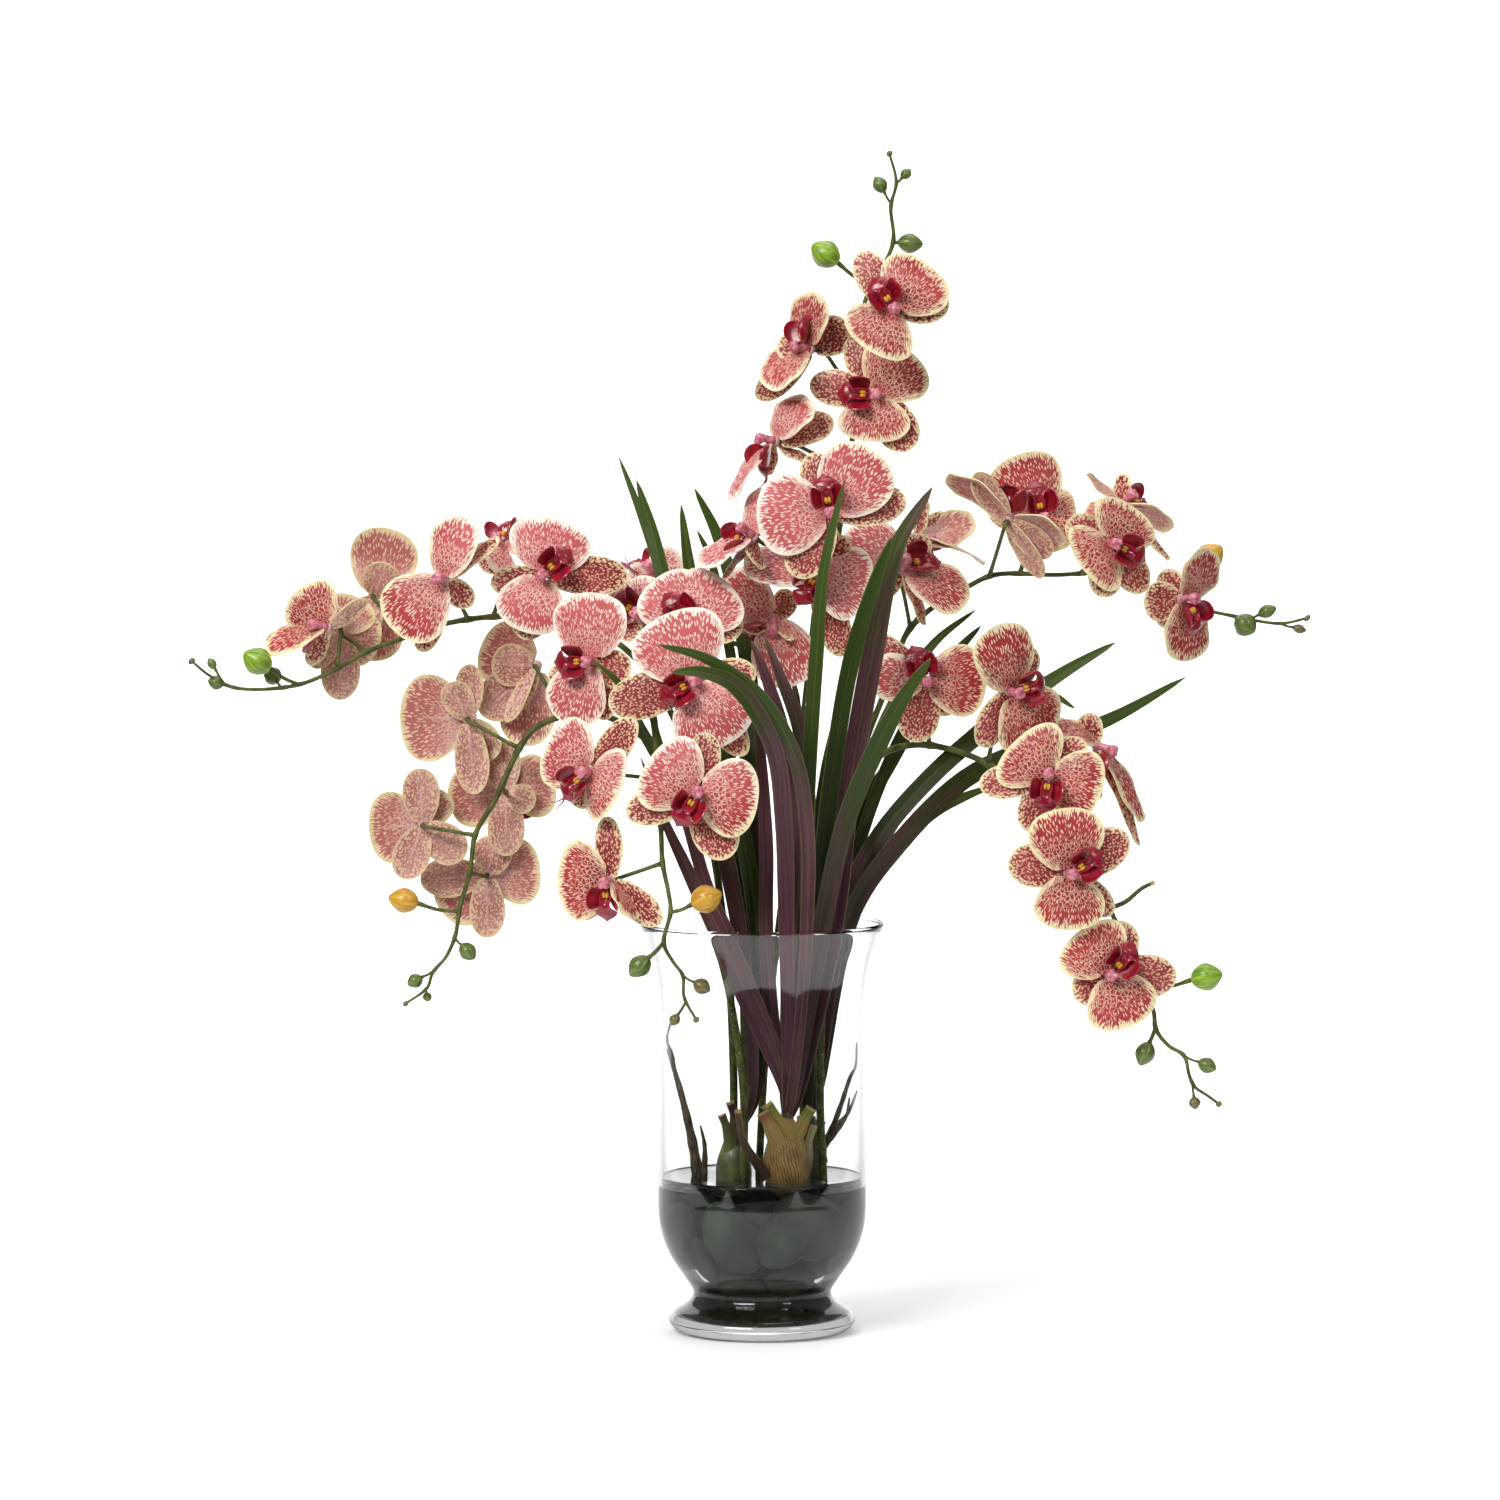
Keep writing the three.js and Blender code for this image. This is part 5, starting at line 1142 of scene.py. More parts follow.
def add_lobe(work, bloom, lobe, outline, lift, foot_lift, wave, looks, seed):
    """A petal or sepal, cupped along its length and curled back at its edges."""
    centre, length, normal = lobe_frame(bloom, lobe)
    size = length.length
    along = length / size
    side = along.cross(normal).normalized()
    half_width = lobe[2] / 2
    draw = random.Random(seed)
    phase = draw.uniform(0, math.tau)
    beat = draw.uniform(1.2, 1.9)
    number = draw.random()

    def flat(u, v):
        share, across = outline.at(u, v)
        return LOBE_FOOT + (1 - LOBE_FOOT) * share, across

    steps = [i / 12 for i in range(13)]
    rim = [flat(e, s) for s in steps for e in (-1, 1)] + [flat(s * 2 - 1, 1) for s in steps]
    rim = [Vector((t * half_width, s * size)) for s, t in rim]

    def place(u, v):
        s, t = flat(u, v)
        spot = Vector((t * half_width, s * size))
        margin = min((spot - edge).length for edge in rim) if abs(u) < 1 and v < 1 else 0.0
        rise = foot_lift + (lift - foot_lift) * smooth_share(s, 0, 0.35)
        rise += CUPPING * size * math.sin(math.pi * s)
        rise -= EDGE_CURL * lobe[2] * t * t
        rise += wave * abs(t) ** 3 * math.sin(math.tau * beat * s + phase + (1.3 if t > 0 else 0))
        rise += wave * 0.8 * smooth_share(s, 0.7, 1) * math.sin(t * 5 + phase)
        rise -= 0.7 * math.exp(-((spot.x / 2.2) ** 2)) * (1 - s)
        point = centre + along * spot.y + side * spot.x + normal * rise
        return point, (spot.x, spot.y, margin), (number, s, 0)

    sheet(work, LOBE_COLUMNS, LOBE_ROWS, place, PETAL_THICKNESS, looks)


# Lip: out of the face and half width of the middle lobe, and lift of its edges, against down
LIP_TOP = 4
LIP_LENGTH = 24.5
LIP_THICKNESS = 0.9
LIP_OUT = [(4, 5), (11, 7.6), (17, 11), (21.5, 10.5), (28.5, 5)]
LIP_HALF = [(4, 3.4), (11, 4.4), (15.5, 3.6), (18, 5), (21.4, 9), (23, 7.6), (28.5, 0.6)]
LIP_EDGE = [(4, 3), (11, 3.5), (17, 1.5), (21.5, -3), (28.5, 0)]

# Curl at the end of some lips: out, down and over
LIP_CURL = [(4.5, 27, 0.3), (5.5, 31, 1.2), (8, 35, 2.6), (10, 37, 5)]
CURLED = ("bloom_f2", "bloom_a4", "bloom_g5")


def add_lip(work, bloom, face, hang, curls):
    looks = (LIP_LOOK, LIP_LOOK)
    centre = seen(bloom["at"])
    side = face.cross(hang)

    def spread(out, down, over):
        return centre + face * out + hang * down + side * over

    def middle(u, v):
        down = LIP_TOP + LIP_LENGTH * v
        half = read_off(LIP_HALF, down)
        out = read_off(LIP_OUT, down) + read_off(LIP_EDGE, down) * u * u
        margin = min(half * (1 - abs(u)), (LIP_LENGTH - 1) * (1 - v))
        return spread(out, down, -u * half), (u * half, down, margin), (0, v, 0)

    sheet(work, 10, 20, middle, LIP_THICKNESS, looks)
    for turn in (-1, 1):

        def wing(u, v, turn=turn):
            share, across = LIP_SIDE.at(u, v)
            down = 10.6 + 1.2 * share + across * (7.2 + 1.6 * share)
            over = 3.2 + 9.2 * math.sin(1.9 * share) - 2.2 * across * across
            out = 5.4 + 13.4 * share - 1.6 * across * across
            margin = min(7.5 * (1 - abs(u)), 14 * (1 - v))
            return spread(out, down, turn * over), (across * 6, share * 12, margin), (0, share, 0)

        sheet(work, 10, 12, wing, LIP_THICKNESS, looks)
    for over in (-1.2, 1.2):
        axes = [side * 1.5, hang * 2.6, face * 2.1]
        ball(work, spread(9.2, 8.6, over), axes, look=CALLUS_LOOK, around=12, rings=8)
    if curls:
        for turn in (-1, 1):
            line = [spread(out, down, over * turn) for out, down, over in LIP_CURL]
            path = smooth_path(line, 9)
            sweep(work, path, [0.75 - 0.06 * i for i in range(10)], 6, look=LIP_LOOK)


# Column: out of the face, and radius
COLUMN = [(1, 3.4), (4, 3), (8, 2.9), (10.5, 3.3), (12.5, 4.1), (14.5, 4.3), (16, 3.6), (16.8, 2)]


def add_column(work, bloom, face, hang):
    centre = seen(bloom["at"])
    line = [centre + face * out - hang * 1.4 * math.sin(out / 7) for out, _ in COLUMN]
    sweep(work, line, [radius for _, radius in COLUMN], 14, look=COLUMN_LOOK)
    side = face.cross(hang)
    for turn in (-1, 1):
        knob = centre + face * 14.6 + side * 2 * turn + hang * 0.8
        axes = [side * 2.4, hang * 2.6, face * 2.6]
        ball(work, knob, axes, look=COLUMN_LOOK, around=10, rings=8)


def make_bloom(name, bloom, materials):
    work = fresh()
    face = facing(bloom["face"])
    centre = seen(bloom["at"])
    for i, lobe in enumerate(bloom["sepals"]):
        lifts = SEPAL_LIFT - i * LEVEL_STEP, -1.4 - 0.4 * i
        add_lobe(work, bloom, lobe, SEPAL, *lifts, 0.8, SEPAL_LOOKS, name + "s" + str(i))
    for i, lobe in enumerate(bloom["petals"]):
        lifts = PETAL_LIFT + i * LEVEL_STEP, 1.5 + 0.5 * i
        add_lobe(work, bloom, lobe, PETAL, *lifts, 1.3, PETAL_LOOKS, name + "p" + str(i))
    hang = Vector((0, 0, -1))
    if bloom["lip"] is not None:
        angle = math.radians(bloom["lip"])
        hang = Vector((math.cos(angle), 0, math.sin(angle)))
    hang = across_to(hang, face)
    if bloom["lip"] is not None:
        add_lip(work, bloom, face, hang, name in CURLED)
    add_column(work, bloom, face, hang)
    side = face.cross(hang)
    axes = [side * 4.5, hang * 4.5, face * 2.5]
    ball(work, centre - face * 0.2, axes, look=HUB_LOOK, around=16, rings=8)
    finish_piece(name + "_petals", work, materials, [name])


# Stems and buds

BUD_TINTS = {
    "lime": ("#5f8a16", "#9fbe35"),
    "yellow": ("#c08423", "#d9b33c"),
    "green": ("#46561f", "#75893c"),
    "brown": ("#564c26", "#7d7441"),
}
BUD_TONES = {
    "spray_a": ("lime", "green", "green", "green"),
    "spray_b": ("yellow", "green", "green", "brown"),
    "spray_c": ("lime", "green", "green", "brown"),
    "spray_d": ("lime", "green", "green", "green"),
    "spray_e": ("yellow", "green", "green", "green"),
    "spray_f": ("yellow", "green", "brown", "brown"),
}


def bud_look(tone):
    """Place of a bud's material after that of the stems."""
    return 1 + list(BUD_TINTS).index(tone)


def stem_green():
    paint = Paint("stem_green", Roughness=0.5, Specular_IOR_Level=0.3)
    place = paint.place()
    patches = paint.noise(place, 0.09, 3.0)
    grain = paint.noise(place, 0.8, 2.0)
    shown = paint.mix(patches.step(0.35, 0.65), "#3d4418", "#5c6329")
    shown = paint.mix(grain.step(0.58, 0.72) * 0.45, shown, "#5f4a26")
    # painted glints: pale flecks stand in for drops of water on the stems, thinning out higher up
    painted_drop_glints = paint.noise(place, 1.0, 1.0).step(0.66, 0.71)
    low = 1 - paint.parts(place)[2].step(260, 420) * 0.7
    paint.set("Base Color", paint.mix(painted_drop_glints * low * 0.75, shown, "#b4b98c"))
    paint.bump(grain + painted_drop_glints * 0.5, 0.25, 0.0006)
    return paint.material


def bud_skin(tone):
    dark, light = BUD_TINTS[tone]
    paint = Paint("bud_" + tone, Roughness=0.38, Coat_Weight=0.15)
    east, along, north = paint.attribute("spot")
    stripes = paint.noise(paint.vector(east * 4.5, north * 4.5, along * 0.5), 1.0, 2.0)
    patches = paint.noise(paint.place(), 0.12, 2.0)
    shown = paint.mix(stripes.step(0.35, 0.68), dark, light)
    blush = "#c9803f" if tone == "yellow" else "#5d6b34"
    paint.set("Base Color", paint.mix(patches.step(0.5, 0.75) * 0.5, shown, blush))
    paint.bump(stripes, 0.3, 0.0008)
    return paint.material


def bud_shape(corner):
    """An egg with three long creases that run round a little towards the tip."""
    x, y, z = corner
    turn = math.atan2(y, x) + z * 0.5
    crease = 0.0
    for k in range(3):
        off = (turn - k * math.tau / 3 + math.pi) % math.tau - math.pi
        crease += math.exp(-((off / 0.22) ** 2))
    wide = 1 - 0.1 * crease * (1 - z * z)
    wide *= 1 + 0.1 * z if z < 0 else 1 - 0.24 * z * z
    return x * wide, y * wide, z + 0.1 * max(0.0, z) ** 6


def add_bud(work, bud, path, look):
    right, up, depth, long, wide, source = bud
    centre = seen((right, up, depth))
    start = nearest_on(path, seen(source))
    away = (centre - start).normalized()
    thick = 1.5 if wide > 14 else 1.0
    foot = centre - away * long * 0.44
    sag = (start + foot) / 2 - UP * (foot - start).length * 0.06
    sweep(work, smooth_path([start, sag, foot], 8), [thick * 1.15] + [thick] * 6 + [thick * 1.3] * 2, 8)
    side = across_to(Vector((0, 1, 0)) if abs(away.y) < 0.9 else Vector((1, 0, 0)), away)
    axes = round_axes(side, away, wide, long)
    ball(work, centre, axes, look=look, around=24, rings=16, shape=bud_shape)


def make_spray(name, spray, materials):
    work = fresh()
    path = smooth_path([seen(place) for place in spray["path"]], (len(spray["path"]) - 1) * 7)
    first, last = spray["radius"]
    blooms = [bloom for key, bloom in BLOOMS.items() if key.startswith("bloom_" + name[-1])]
    stalks = [nearest_on(path, seen(bloom["stalk"])) for bloom in blooms]
    starts = [nearest_on(path, seen(bud[5])) for bud in spray["buds"]] + stalks
    radii = []
    for i, point in enumerate(path):
        radius = first + (last - first) * i / (len(path) - 1)
        near = min([(point - start).length for start in starts] + [99])
        radii.append(radius * (1 + 0.32 * math.exp(-((near / 3.5) ** 2))))
    sweep(work, path, radii, 12)
    for bloom, start in zip(blooms, stalks):
        face = facing(bloom["face"])
        end = seen(bloom["at"]) - face * (HUB_BACK - 0.6)
        bend = end - face * 9
        line = smooth_path([start, start.lerp(bend, 0.55), bend, end], 14)
        radii = [2.1, 1.8] + [1.55] * 9 + [1.6, 1.8, 2.1, 2.3]
        sweep(work, line, radii, 10)
    tones = BUD_TONES.get(name, ())
    for bud, tone in zip(spray["buds"], tones):
        add_bud(work, bud, path, bud_look(tone))
    long, wide = spray["tip"]
    lean = Vector((1, 0, 1)).normalized()
    side = across_to(Vector((0, 1, 0)), lean)
    axes = round_axes(side, lean, wide, long)
    ball(work, path[-1], axes, look=bud_look("brown"), around=12, rings=8)
    if "stub" in spray:
        stub = [seen(place) for place in spray["stub"]]
        stub[0] = nearest_on(path, stub[0])
        sweep(work, smooth_path(stub, 12), [2 - 0.05 * i for i in range(13)], 8)
        knob = round_axes(Vector((1, 0, 0)), UP, 3.8, 3.8)
        ball(work, stub[-1], knob, look=bud_look("yellow"), around=10, rings=8)
    finish_piece(name + "_stems", work, materials, [name])


# Leaves. The mark "spot" holds millimetres across and along a blade and its half width, and "kind"
# holds a seed, the share of the length and how purple the blade is.

# How purple each blade is at its foot and at its tip
LEAF_TONES = {
    "leaves_front": [
        (0.5, 0.0), (0.1, 0.0), (0.75, 0.5), (0.55, 0.15), (0.85, 0.0), (0.95, 0.35), (1.0, 0.9), (0.3, 0.6),
        (1.0, 0.8), (1.0, 0.3), (0.95, 0.8),
    ],
    "leaves_left": [(0.6, 0.1), (0.2, 0.0), (0.1, 0.0), (0.5, 0.1), (0.1, 0.0)],
    "leaves_back": [
        (0.1, 0.0), (0.1, 0.0), (0.6, 0.1), (0.5, 0.3), (0.1, 0.0), (0.1, 0.0), (0.3, 0.1), (0.1, 0.0),
    ],
}


def leaf_strap(name, green_low, green_high, purple_low, purple_high):
    paint = Paint(name, Roughness=0.5, Specular_IOR_Level=0.28)
    across, along, half = paint.attribute("spot")
    seed, share, tone = paint.attribute("kind")
    lines = paint.noise(paint.vector(across * 1.3 + seed * 30, along * 0.01, seed * 9), 1.0, 3.0, 0.6)
    patches = paint.noise(paint.vector(across * 0.1, along * 0.02 + seed * 20), 1.0, 2.0)
    green = paint.mix(share.step(0.2, 1.0), green_low, green_high)
    green = paint.mix(lines.step(0.5, 0.75) * 0.4, green, "#56682a")
    purple = paint.mix(lines.step(0.35, 0.7), purple_low, purple_high)
    amount = (tone + (patches - 0.5) * 0.5).step(0.3, 0.7)
    shown = paint.mix(amount, green, purple)
    # a pale middle line on some of the blades
    some = (paint.noise(paint.vector(seed * 17, along * 0.004), 1.0, 0.0) - 0.5).step(-0.02, 0.06)
    centre = (1 - abs(across).step(0.15, 0.7)) * some
    shown = paint.mix(centre * 0.35, shown, "#6a6a2c")
    rim = 1 - (half - abs(across)).step(0.1, 0.55)
    paint.set("Base Color", paint.mix(rim * 0.35, shown, "#8a8452"))
    paint.bump(lines - centre * 0.4, 0.35, 0.0006)
    return paint.material


def add_blade(work, foot, item, tone, number):
    path, width, turn = item
    points = [foot] + [seen(place) for place in path]
    rows = (len(points) - 1) * 6
    line = smooth_path(points, rows)
    angle = math.radians(turn)
    lengths = [0.0]
    for a, b in zip(line, line[1:]):
        lengths.append(lengths[-1] + (b - a).length)

    def place(u, v):
        i = round(v * rows)
        point = line[i]
        along = (line[min(i + 1, rows)] - line[max(i - 1, 0)]).normalized()
        front = across_to(TOWARDS_VIEWER, along)
        left = front.cross(along)
        normal = front * math.cos(angle) + left * math.sin(angle)
        side = along.cross(normal).normalized()
        half = (width / 2) * min(1, 0.4 + 1.7 * v) * min(1, math.sqrt(max(0.0, (1 - v) / 0.32)))
        half = max(half, 0.25)
        dip = 0.16 * half * (1 - abs(u)) ** 1.5
        purple = tone[0] + (tone[1] - tone[0]) * smooth_share(v, 0.3, 0.8)
        return point + side * u * half - normal * dip, (u * half, lengths[i], half), (number, v, purple)

    sheet(work, 6, rows, place, LEAF_THICKNESS, (0, 1))


def bulb_centre(bulb):
    """Place of the upright centre line of a bulb, at height 0."""
    right, depth = bulb["at"]
    return Vector((seen((right, WATER_LEVEL, depth)).x, depth, 0))


def make_leaves(name, leaves, materials):
    work = fresh()
    carrier, high, radius = leaves["collar"]
    bulb = BULBS[carrier]
    top = seen(high)
    foot = bulb_centre(bulb) + UP * (bulb["outline"][-1][1] - 6)
    line = smooth_path([foot, foot.lerp(top, 0.5), top], 8)
    radii = [radius * (0.62 - 0.05 * i) for i in range(9)]
    sweep(work, line, radii, 16, look=0, mark=(0.4, 0.1, 1.0))
    for number, (item, tone) in enumerate(zip(leaves["blades"], LEAF_TONES[name])):
        add_blade(work, foot + UP * 3, item, tone, (number * 0.37) % 1)
    finish_piece(name + "_blades", work, materials, [name])


# Bulbs and roots


def bulb_skin(name, centre, dark, light, thread, looks):
    """Papery skin with raised threads that run from the foot to the neck, angle 0 at the front."""
    count, lean, ridged, gloss = looks
    paint = Paint(name, Roughness=0.55 - gloss * 0.3, Coat_Weight=gloss * 0.6, Coat_Roughness=0.08)
    place = paint.place()
    x, y, z = paint.parts(place)
    angle = (x - centre[0]).turn_from(centre[1] - y)
    warp = paint.noise(place, 0.11, 2.0) - 0.5
    phase = angle * count + z * lean + warp * 16
    threads = phase.sine().step(0.0, 1.0)
    fine = paint.noise(paint.vector(angle * count * 1.1, z * 0.12 + lean * angle * 3), 1.0, 2.0, 0.6)
    patches = paint.noise(place, 0.09, 2.0)
    here = (angle + (z - 130) * 0.018 + 1.1 - ridged).step(-0.05, 0.05)
    shown = paint.mix(patches.step(0.3, 0.7), dark, light)
    shown = paint.mix(fine.step(0.5, 0.75) * 0.5, shown, dark)
    paint.set("Base Color", paint.mix(threads * here * (fine * 0.6 + 0.45), shown, thread))
    paint.bump(threads * here * -0.7 + fine * 0.4, 0.7, 0.0011)
    return paint.material


def sheath_skin(name, low, high, tip):
    """A cut leaf base: greener towards its end, with a pale cut."""
    paint = Paint(name, Roughness=0.48, Specular_IOR_Level=0.35)
    across, share, half = paint.attribute("spot")
    lines = paint.noise(paint.vector(across * 1.3, share * 0.8), 1.0, 2.0, 0.6)
    shown = paint.mix(share.step(0.1, 0.75), low, high)
    shown = paint.mix(share.step(0.6, 0.95) * 0.8, shown, tip)
    shown = paint.mix(lines.step(0.5, 0.62) * 0.5, shown, "#46331d")
    cut = share.step(0.945, 0.965)
    rim = (abs(across) - half).step(-0.4, -0.15) * 0.5
    paint.set("Base Color", paint.mix(cut.most(rim) * 0.8, shown, "#b59c66"))
    paint.bump(lines, 0.6, 0.001)
    return paint.material


def add_sheath(work, path, width, look, centre):
    """A leaf base that clasps the bulb: wide at its foot, folded, and cut off at its end."""
    rows = 18
    line = smooth_path([seen(place) for place in path], rows)

    def place(u, v):
        i = round(v * rows)
        along = (line[min(i + 1, rows)] - line[max(i - 1, 0)]).normalized()
        side = along.cross(TOWARDS_VIEWER).normalized()
        out = across_to(Vector((line[i].x - centre.x, line[i].y - centre.y, 0)), along)
        out = (out + across_to(TOWARDS_VIEWER, along)).normalized()
        half = width * read_off([(0, 0.9), (0.45, 0.6), (0.8, 0.4), (1, 0.44)], v)
        fold = out * half * 0.5 * (1 - u * u)
        sunk = out * -7 * (1 - smooth_share(v, 0, 0.55))
        return line[i] + side * u * half + fold + sunk, (u * half, v, half), (0, v, 0)

    sheet(work, 8, rows, place, 1.1, (look, look))


def make_bulb(name, bulb, materials):
    work = fresh()
    centre = bulb_centre(bulb)
    outline = smooth_path([Vector((r, 0, z)) for r, z in bulb["outline"]], 36)
    line = [Vector((centre.x, centre.y, point.z)) for point in outline]
    sweep(work, line, [point.x for point in outline], 48)
    for path, width, tone in bulb["sheaths"]:
        add_sheath(work, path, width, 1 + tone, centre)
    finish_piece(name + "_scales", work, materials, [name])


def root_bark():
    paint = Paint("root_bark", Roughness=0.75)
    place = paint.place()
    x, y, z = paint.parts(place)
    bark = paint.noise(paint.vector(x * 0.7, y * 0.7, z * 0.12), 1.0, 3.0, 0.6)
    paint.set("Base Color", paint.mix(bark.step(0.35, 0.65), "#3a3226", "#7a6a4e"))
    paint.bump(bark, 0.7, 0.001)
    return paint.material


def make_root(name, branches, material):
    work = fresh()
    for path, thick, thin in branches:
        steps = (len(path) - 1) * 6
        line = smooth_path([seen(place) for place in path], steps)
        radii = [thick + (thin - thick) * i / steps for i in range(steps + 1)]
        radii = [r * (1 + 0.08 * math.sin(i * 1.7)) for i, r in enumerate(radii)]
        sweep(work, line, radii, 10)
    finish_piece(name + "_twigs", work, [material], [name])


# Stones, water and glass


def wet_stone():
    paint = Paint("wet_stone", Roughness=0.5, Specular_IOR_Level=0.3)
    place = paint.place()
    seed = paint.attribute("kind")[0]
    height = paint.parts(place)[2]
    broad = paint.noise(place, 0.03, 2.0)
    grain = paint.noise(place, 0.1, 1.0)
    shown = paint.mix(broad.step(0.35, 0.65), "#4d564d", "#616a5f")
    tone = paint.noise(paint.vector(seed * 9, 0.3), 1.0, 0.0)
    shown = paint.mix(tone.step(0.4, 0.6), shown, "#565b52")
    shown = paint.mix(1 - height.step(28, 52), shown, "#2b2b14")
    paint.set("Base Color", paint.mix(grain.step(0.5, 0.8) * 0.2, shown, "#7b8278"))
    return paint.material


def smooth_profile(rows):
    """Curve through [radius, height] rows that keeps the upright stretches straight."""
    points = []
    for (radius, height), (following, end) in zip(rows, rows[1:] + rows[-1:]):
        points.append(Vector((radius, 0, height)))
        if radius == following and height != end:
            step = 5 if end > height else -5
            points.append(Vector((radius, 0, height + step)))
            points.append(Vector((radius, 0, end - step)))
    return [(point.x, point.z) for point in smooth_path(points, (len(points) - 1) * 9)]


# Inside of the glass from the floor up, as (radius, height)
INSIDE = smooth_profile(VASE_INSIDE[::-1])


def inside_limit(height):
    """Inner radius of the glass at a height."""
    for (first, low), (second, high) in zip(INSIDE, INSIDE[1:]):
        if low <= height <= high:
            return first + (second - first) * (height - low) / max(0.001, high - low)
    return INSIDE[0][0]


def kept_inside(point):
    """Moves a point of a stone clear of the floor, the water's top and the wall of the glass."""
    point.z = min(max(point.z, STONE_FLOOR), STONE_TOP)
    wide = math.hypot(point.x, point.y)
    limit = inside_limit(point.z) - STONE_WALL_GAP
    if wide > limit:
        point.x *= limit / wide
        point.y *= limit / wide
    return point


# Radius, height, number and size of the small stones in the foot
GRAVEL_RINGS = [
    (57, 11, 40, 6.5), (52, 15, 24, 8.5), (44, 11, 22, 8), (30, 12, 15, 9), (14, 12, 8, 10),
    (41, 24, 16, 8.5), (28, 23, 10, 9),
]


def add_gravel(work):
    """Small stones that fill the foot, in rings."""
    _, kind = marks(work)
    pick = random.Random(4)
    for radius, height, count, size in GRAVEL_RINGS:
        for k in range(count):
            angle = math.tau * (k + pick.uniform(-0.25, 0.25)) / count
            across = radius + pick.uniform(-3, 3)
            level = height + pick.uniform(-2, 2)
            centre = Vector((across * math.cos(angle), across * math.sin(angle), level))
            axes = [size * pick.uniform(0.75, 1.15) for _ in range(3)]
            tone = pick.random()
            made = bmesh.ops.create_icosphere(work, subdivisions=2, radius=1)["verts"]
            for corner in made:
                x, y, z = corner.co
                corner.co = kept_inside(centre + Vector((x * axes[0], y * axes[1], z * axes[2])))
                corner[kind] = (tone, 0, 0)


def make_stones(material):
    work = fresh()
    _, kind = marks(work)
    for number, (place, long, wide, deep, lean) in enumerate(STONES):
        angle = math.radians(lean)
        along = Vector((math.cos(angle), 0, math.sin(angle))) * long
        across = Vector((-math.sin(angle), 0, math.cos(angle))) * wide
        centre = seen(place)
        made = bmesh.ops.create_icosphere(work, subdivisions=4, radius=1)["verts"]
        for corner in made:
            x, y, z = corner.co
            lump = 1 + 0.05 * math.sin(2.3 * x + number) + 0.04 * math.sin(3 * z + 2 * number)
            corner.co = kept_inside(centre + (across * x + along * z + Vector((0, deep * y, 0))) * lump)
            corner[kind] = (number * 0.13, 0, 0)
        # the three axes are left-handed, which turned the faces inwards
        faces = each_once(face for corner in made for face in corner.link_faces)
        bmesh.ops.reverse_faces(work, faces=faces)
    add_gravel(work)
    finish_piece("river_stones", work, [material], ["stone_bed"])


def water_top():
    paint = Paint("water_top", Roughness=0.0, IOR=1.33, Transmission_Weight=1.0)
    ripple = paint.noise(paint.place(), 0.03, 1.0)
    paint.set("Base Color", paint.mix(ripple, "#c3c8c4", "#ced2cd"))
    return paint.material


def water_side():
    """Tint of the water where it meets the glass: the glass bends the light there."""
    paint = Paint("water_side", Roughness=0.0, IOR=1.0, Transmission_Weight=1.0)
    cloud = paint.noise(paint.place(), 0.03, 1.0)
    paint.set("Base Color", paint.mix(cloud, "#b4bab2", "#bfc4bb"))
    return paint.material


def make_water(materials):
    profile = [(radius - 0.25, height) for radius, height in INSIDE if height < WATER_LEVEL - 3]
    foot = [(0, WATER_FLOOR), (profile[0][0] - 2, WATER_FLOOR)]
    side = [(radius, max(height, WATER_FLOOR)) for radius, height in profile]
    top = [(74.75, WATER_LEVEL - 2), (74.85, WATER_LEVEL + 1.2), (74.3, WATER_LEVEL + 0.6)]
    top += [(73.2, WATER_LEVEL + 0.15), (71, WATER_LEVEL), (0, WATER_LEVEL)]
    work = lathe(foot + side + top, 96)
    for face in work.faces:
        height = face.calc_center_median().z
        face.material_index = 0 if height > WATER_LEVEL - 1 else 1
    finish_piece("vase_water", work, materials, ["water"])


def glass_look(name, bend):
    paint = Paint(name, Roughness=0.0, IOR=bend, Transmission_Weight=1.0)
    haze = paint.noise(paint.place(), 0.02, 1.0)
    body = paint.mix(haze, "#fafbfb", "#fdfdfd")
    # painted shade: dark grey-green where the glass is seen edge-on, partly the glass's own tint through its
    # length, partly standing in for the dark surroundings its edges bend into view
    edge = paint.value("ShaderNodeLayerWeight", None, {"Blend": 0.5}, "Facing").step(0.45, 0.95)
    paint.set("Base Color", paint.mix(edge, body, "#5f6965"))
    return paint.material


def make_vase(materials):
    around = smooth_profile(VASE_OUTSIDE + VASE_INSIDE)
    outline = [(0, 0)] + around + [(0, GLASS_FLOOR)]
    work = lathe(outline, 144)
    for face in work.faces:
        centre = face.calc_center_median()
        inner_wall = face.normal.x * centre.x + face.normal.y * centre.y < 0
        inner_floor = face.normal.z > 0.9 and centre.z < GLASS_FLOOR + 1
        wet = (inner_wall or inner_floor) and centre.z < WATER_LEVEL
        face.material_index = 2 if centre.z > RIM_FROM else int(wet)
    finish_piece("glass_vase", work, materials, ["vase"])


# Whole bunch

petal_looks = [
    petal_face(),
    petal_back(),
    sepal_face(),
    sepal_back(),
    lip_red(),
    callus_yellow(),
    column_pink(),
    hub_pale(),
]
for bloom_name, bloom in BLOOMS.items():
    make_bloom(bloom_name, bloom, petal_looks)

stem_looks = [stem_green()] + [bud_skin(tone) for tone in BUD_TINTS]
for spray_name, spray in SPRAYS.items():
    make_spray(spray_name, spray, stem_looks)

leaf_looks = [
    leaf_strap("leaf_upper", "#1f2a0a", "#394f12", "#472329", "#63404a"),
    leaf_strap("leaf_under", "#2c3915", "#42551d", "#4c3134", "#664c4c"),
]
for leaf_name, leaves in LEAVES.items():
    make_leaves(leaf_name, leaves, leaf_looks)

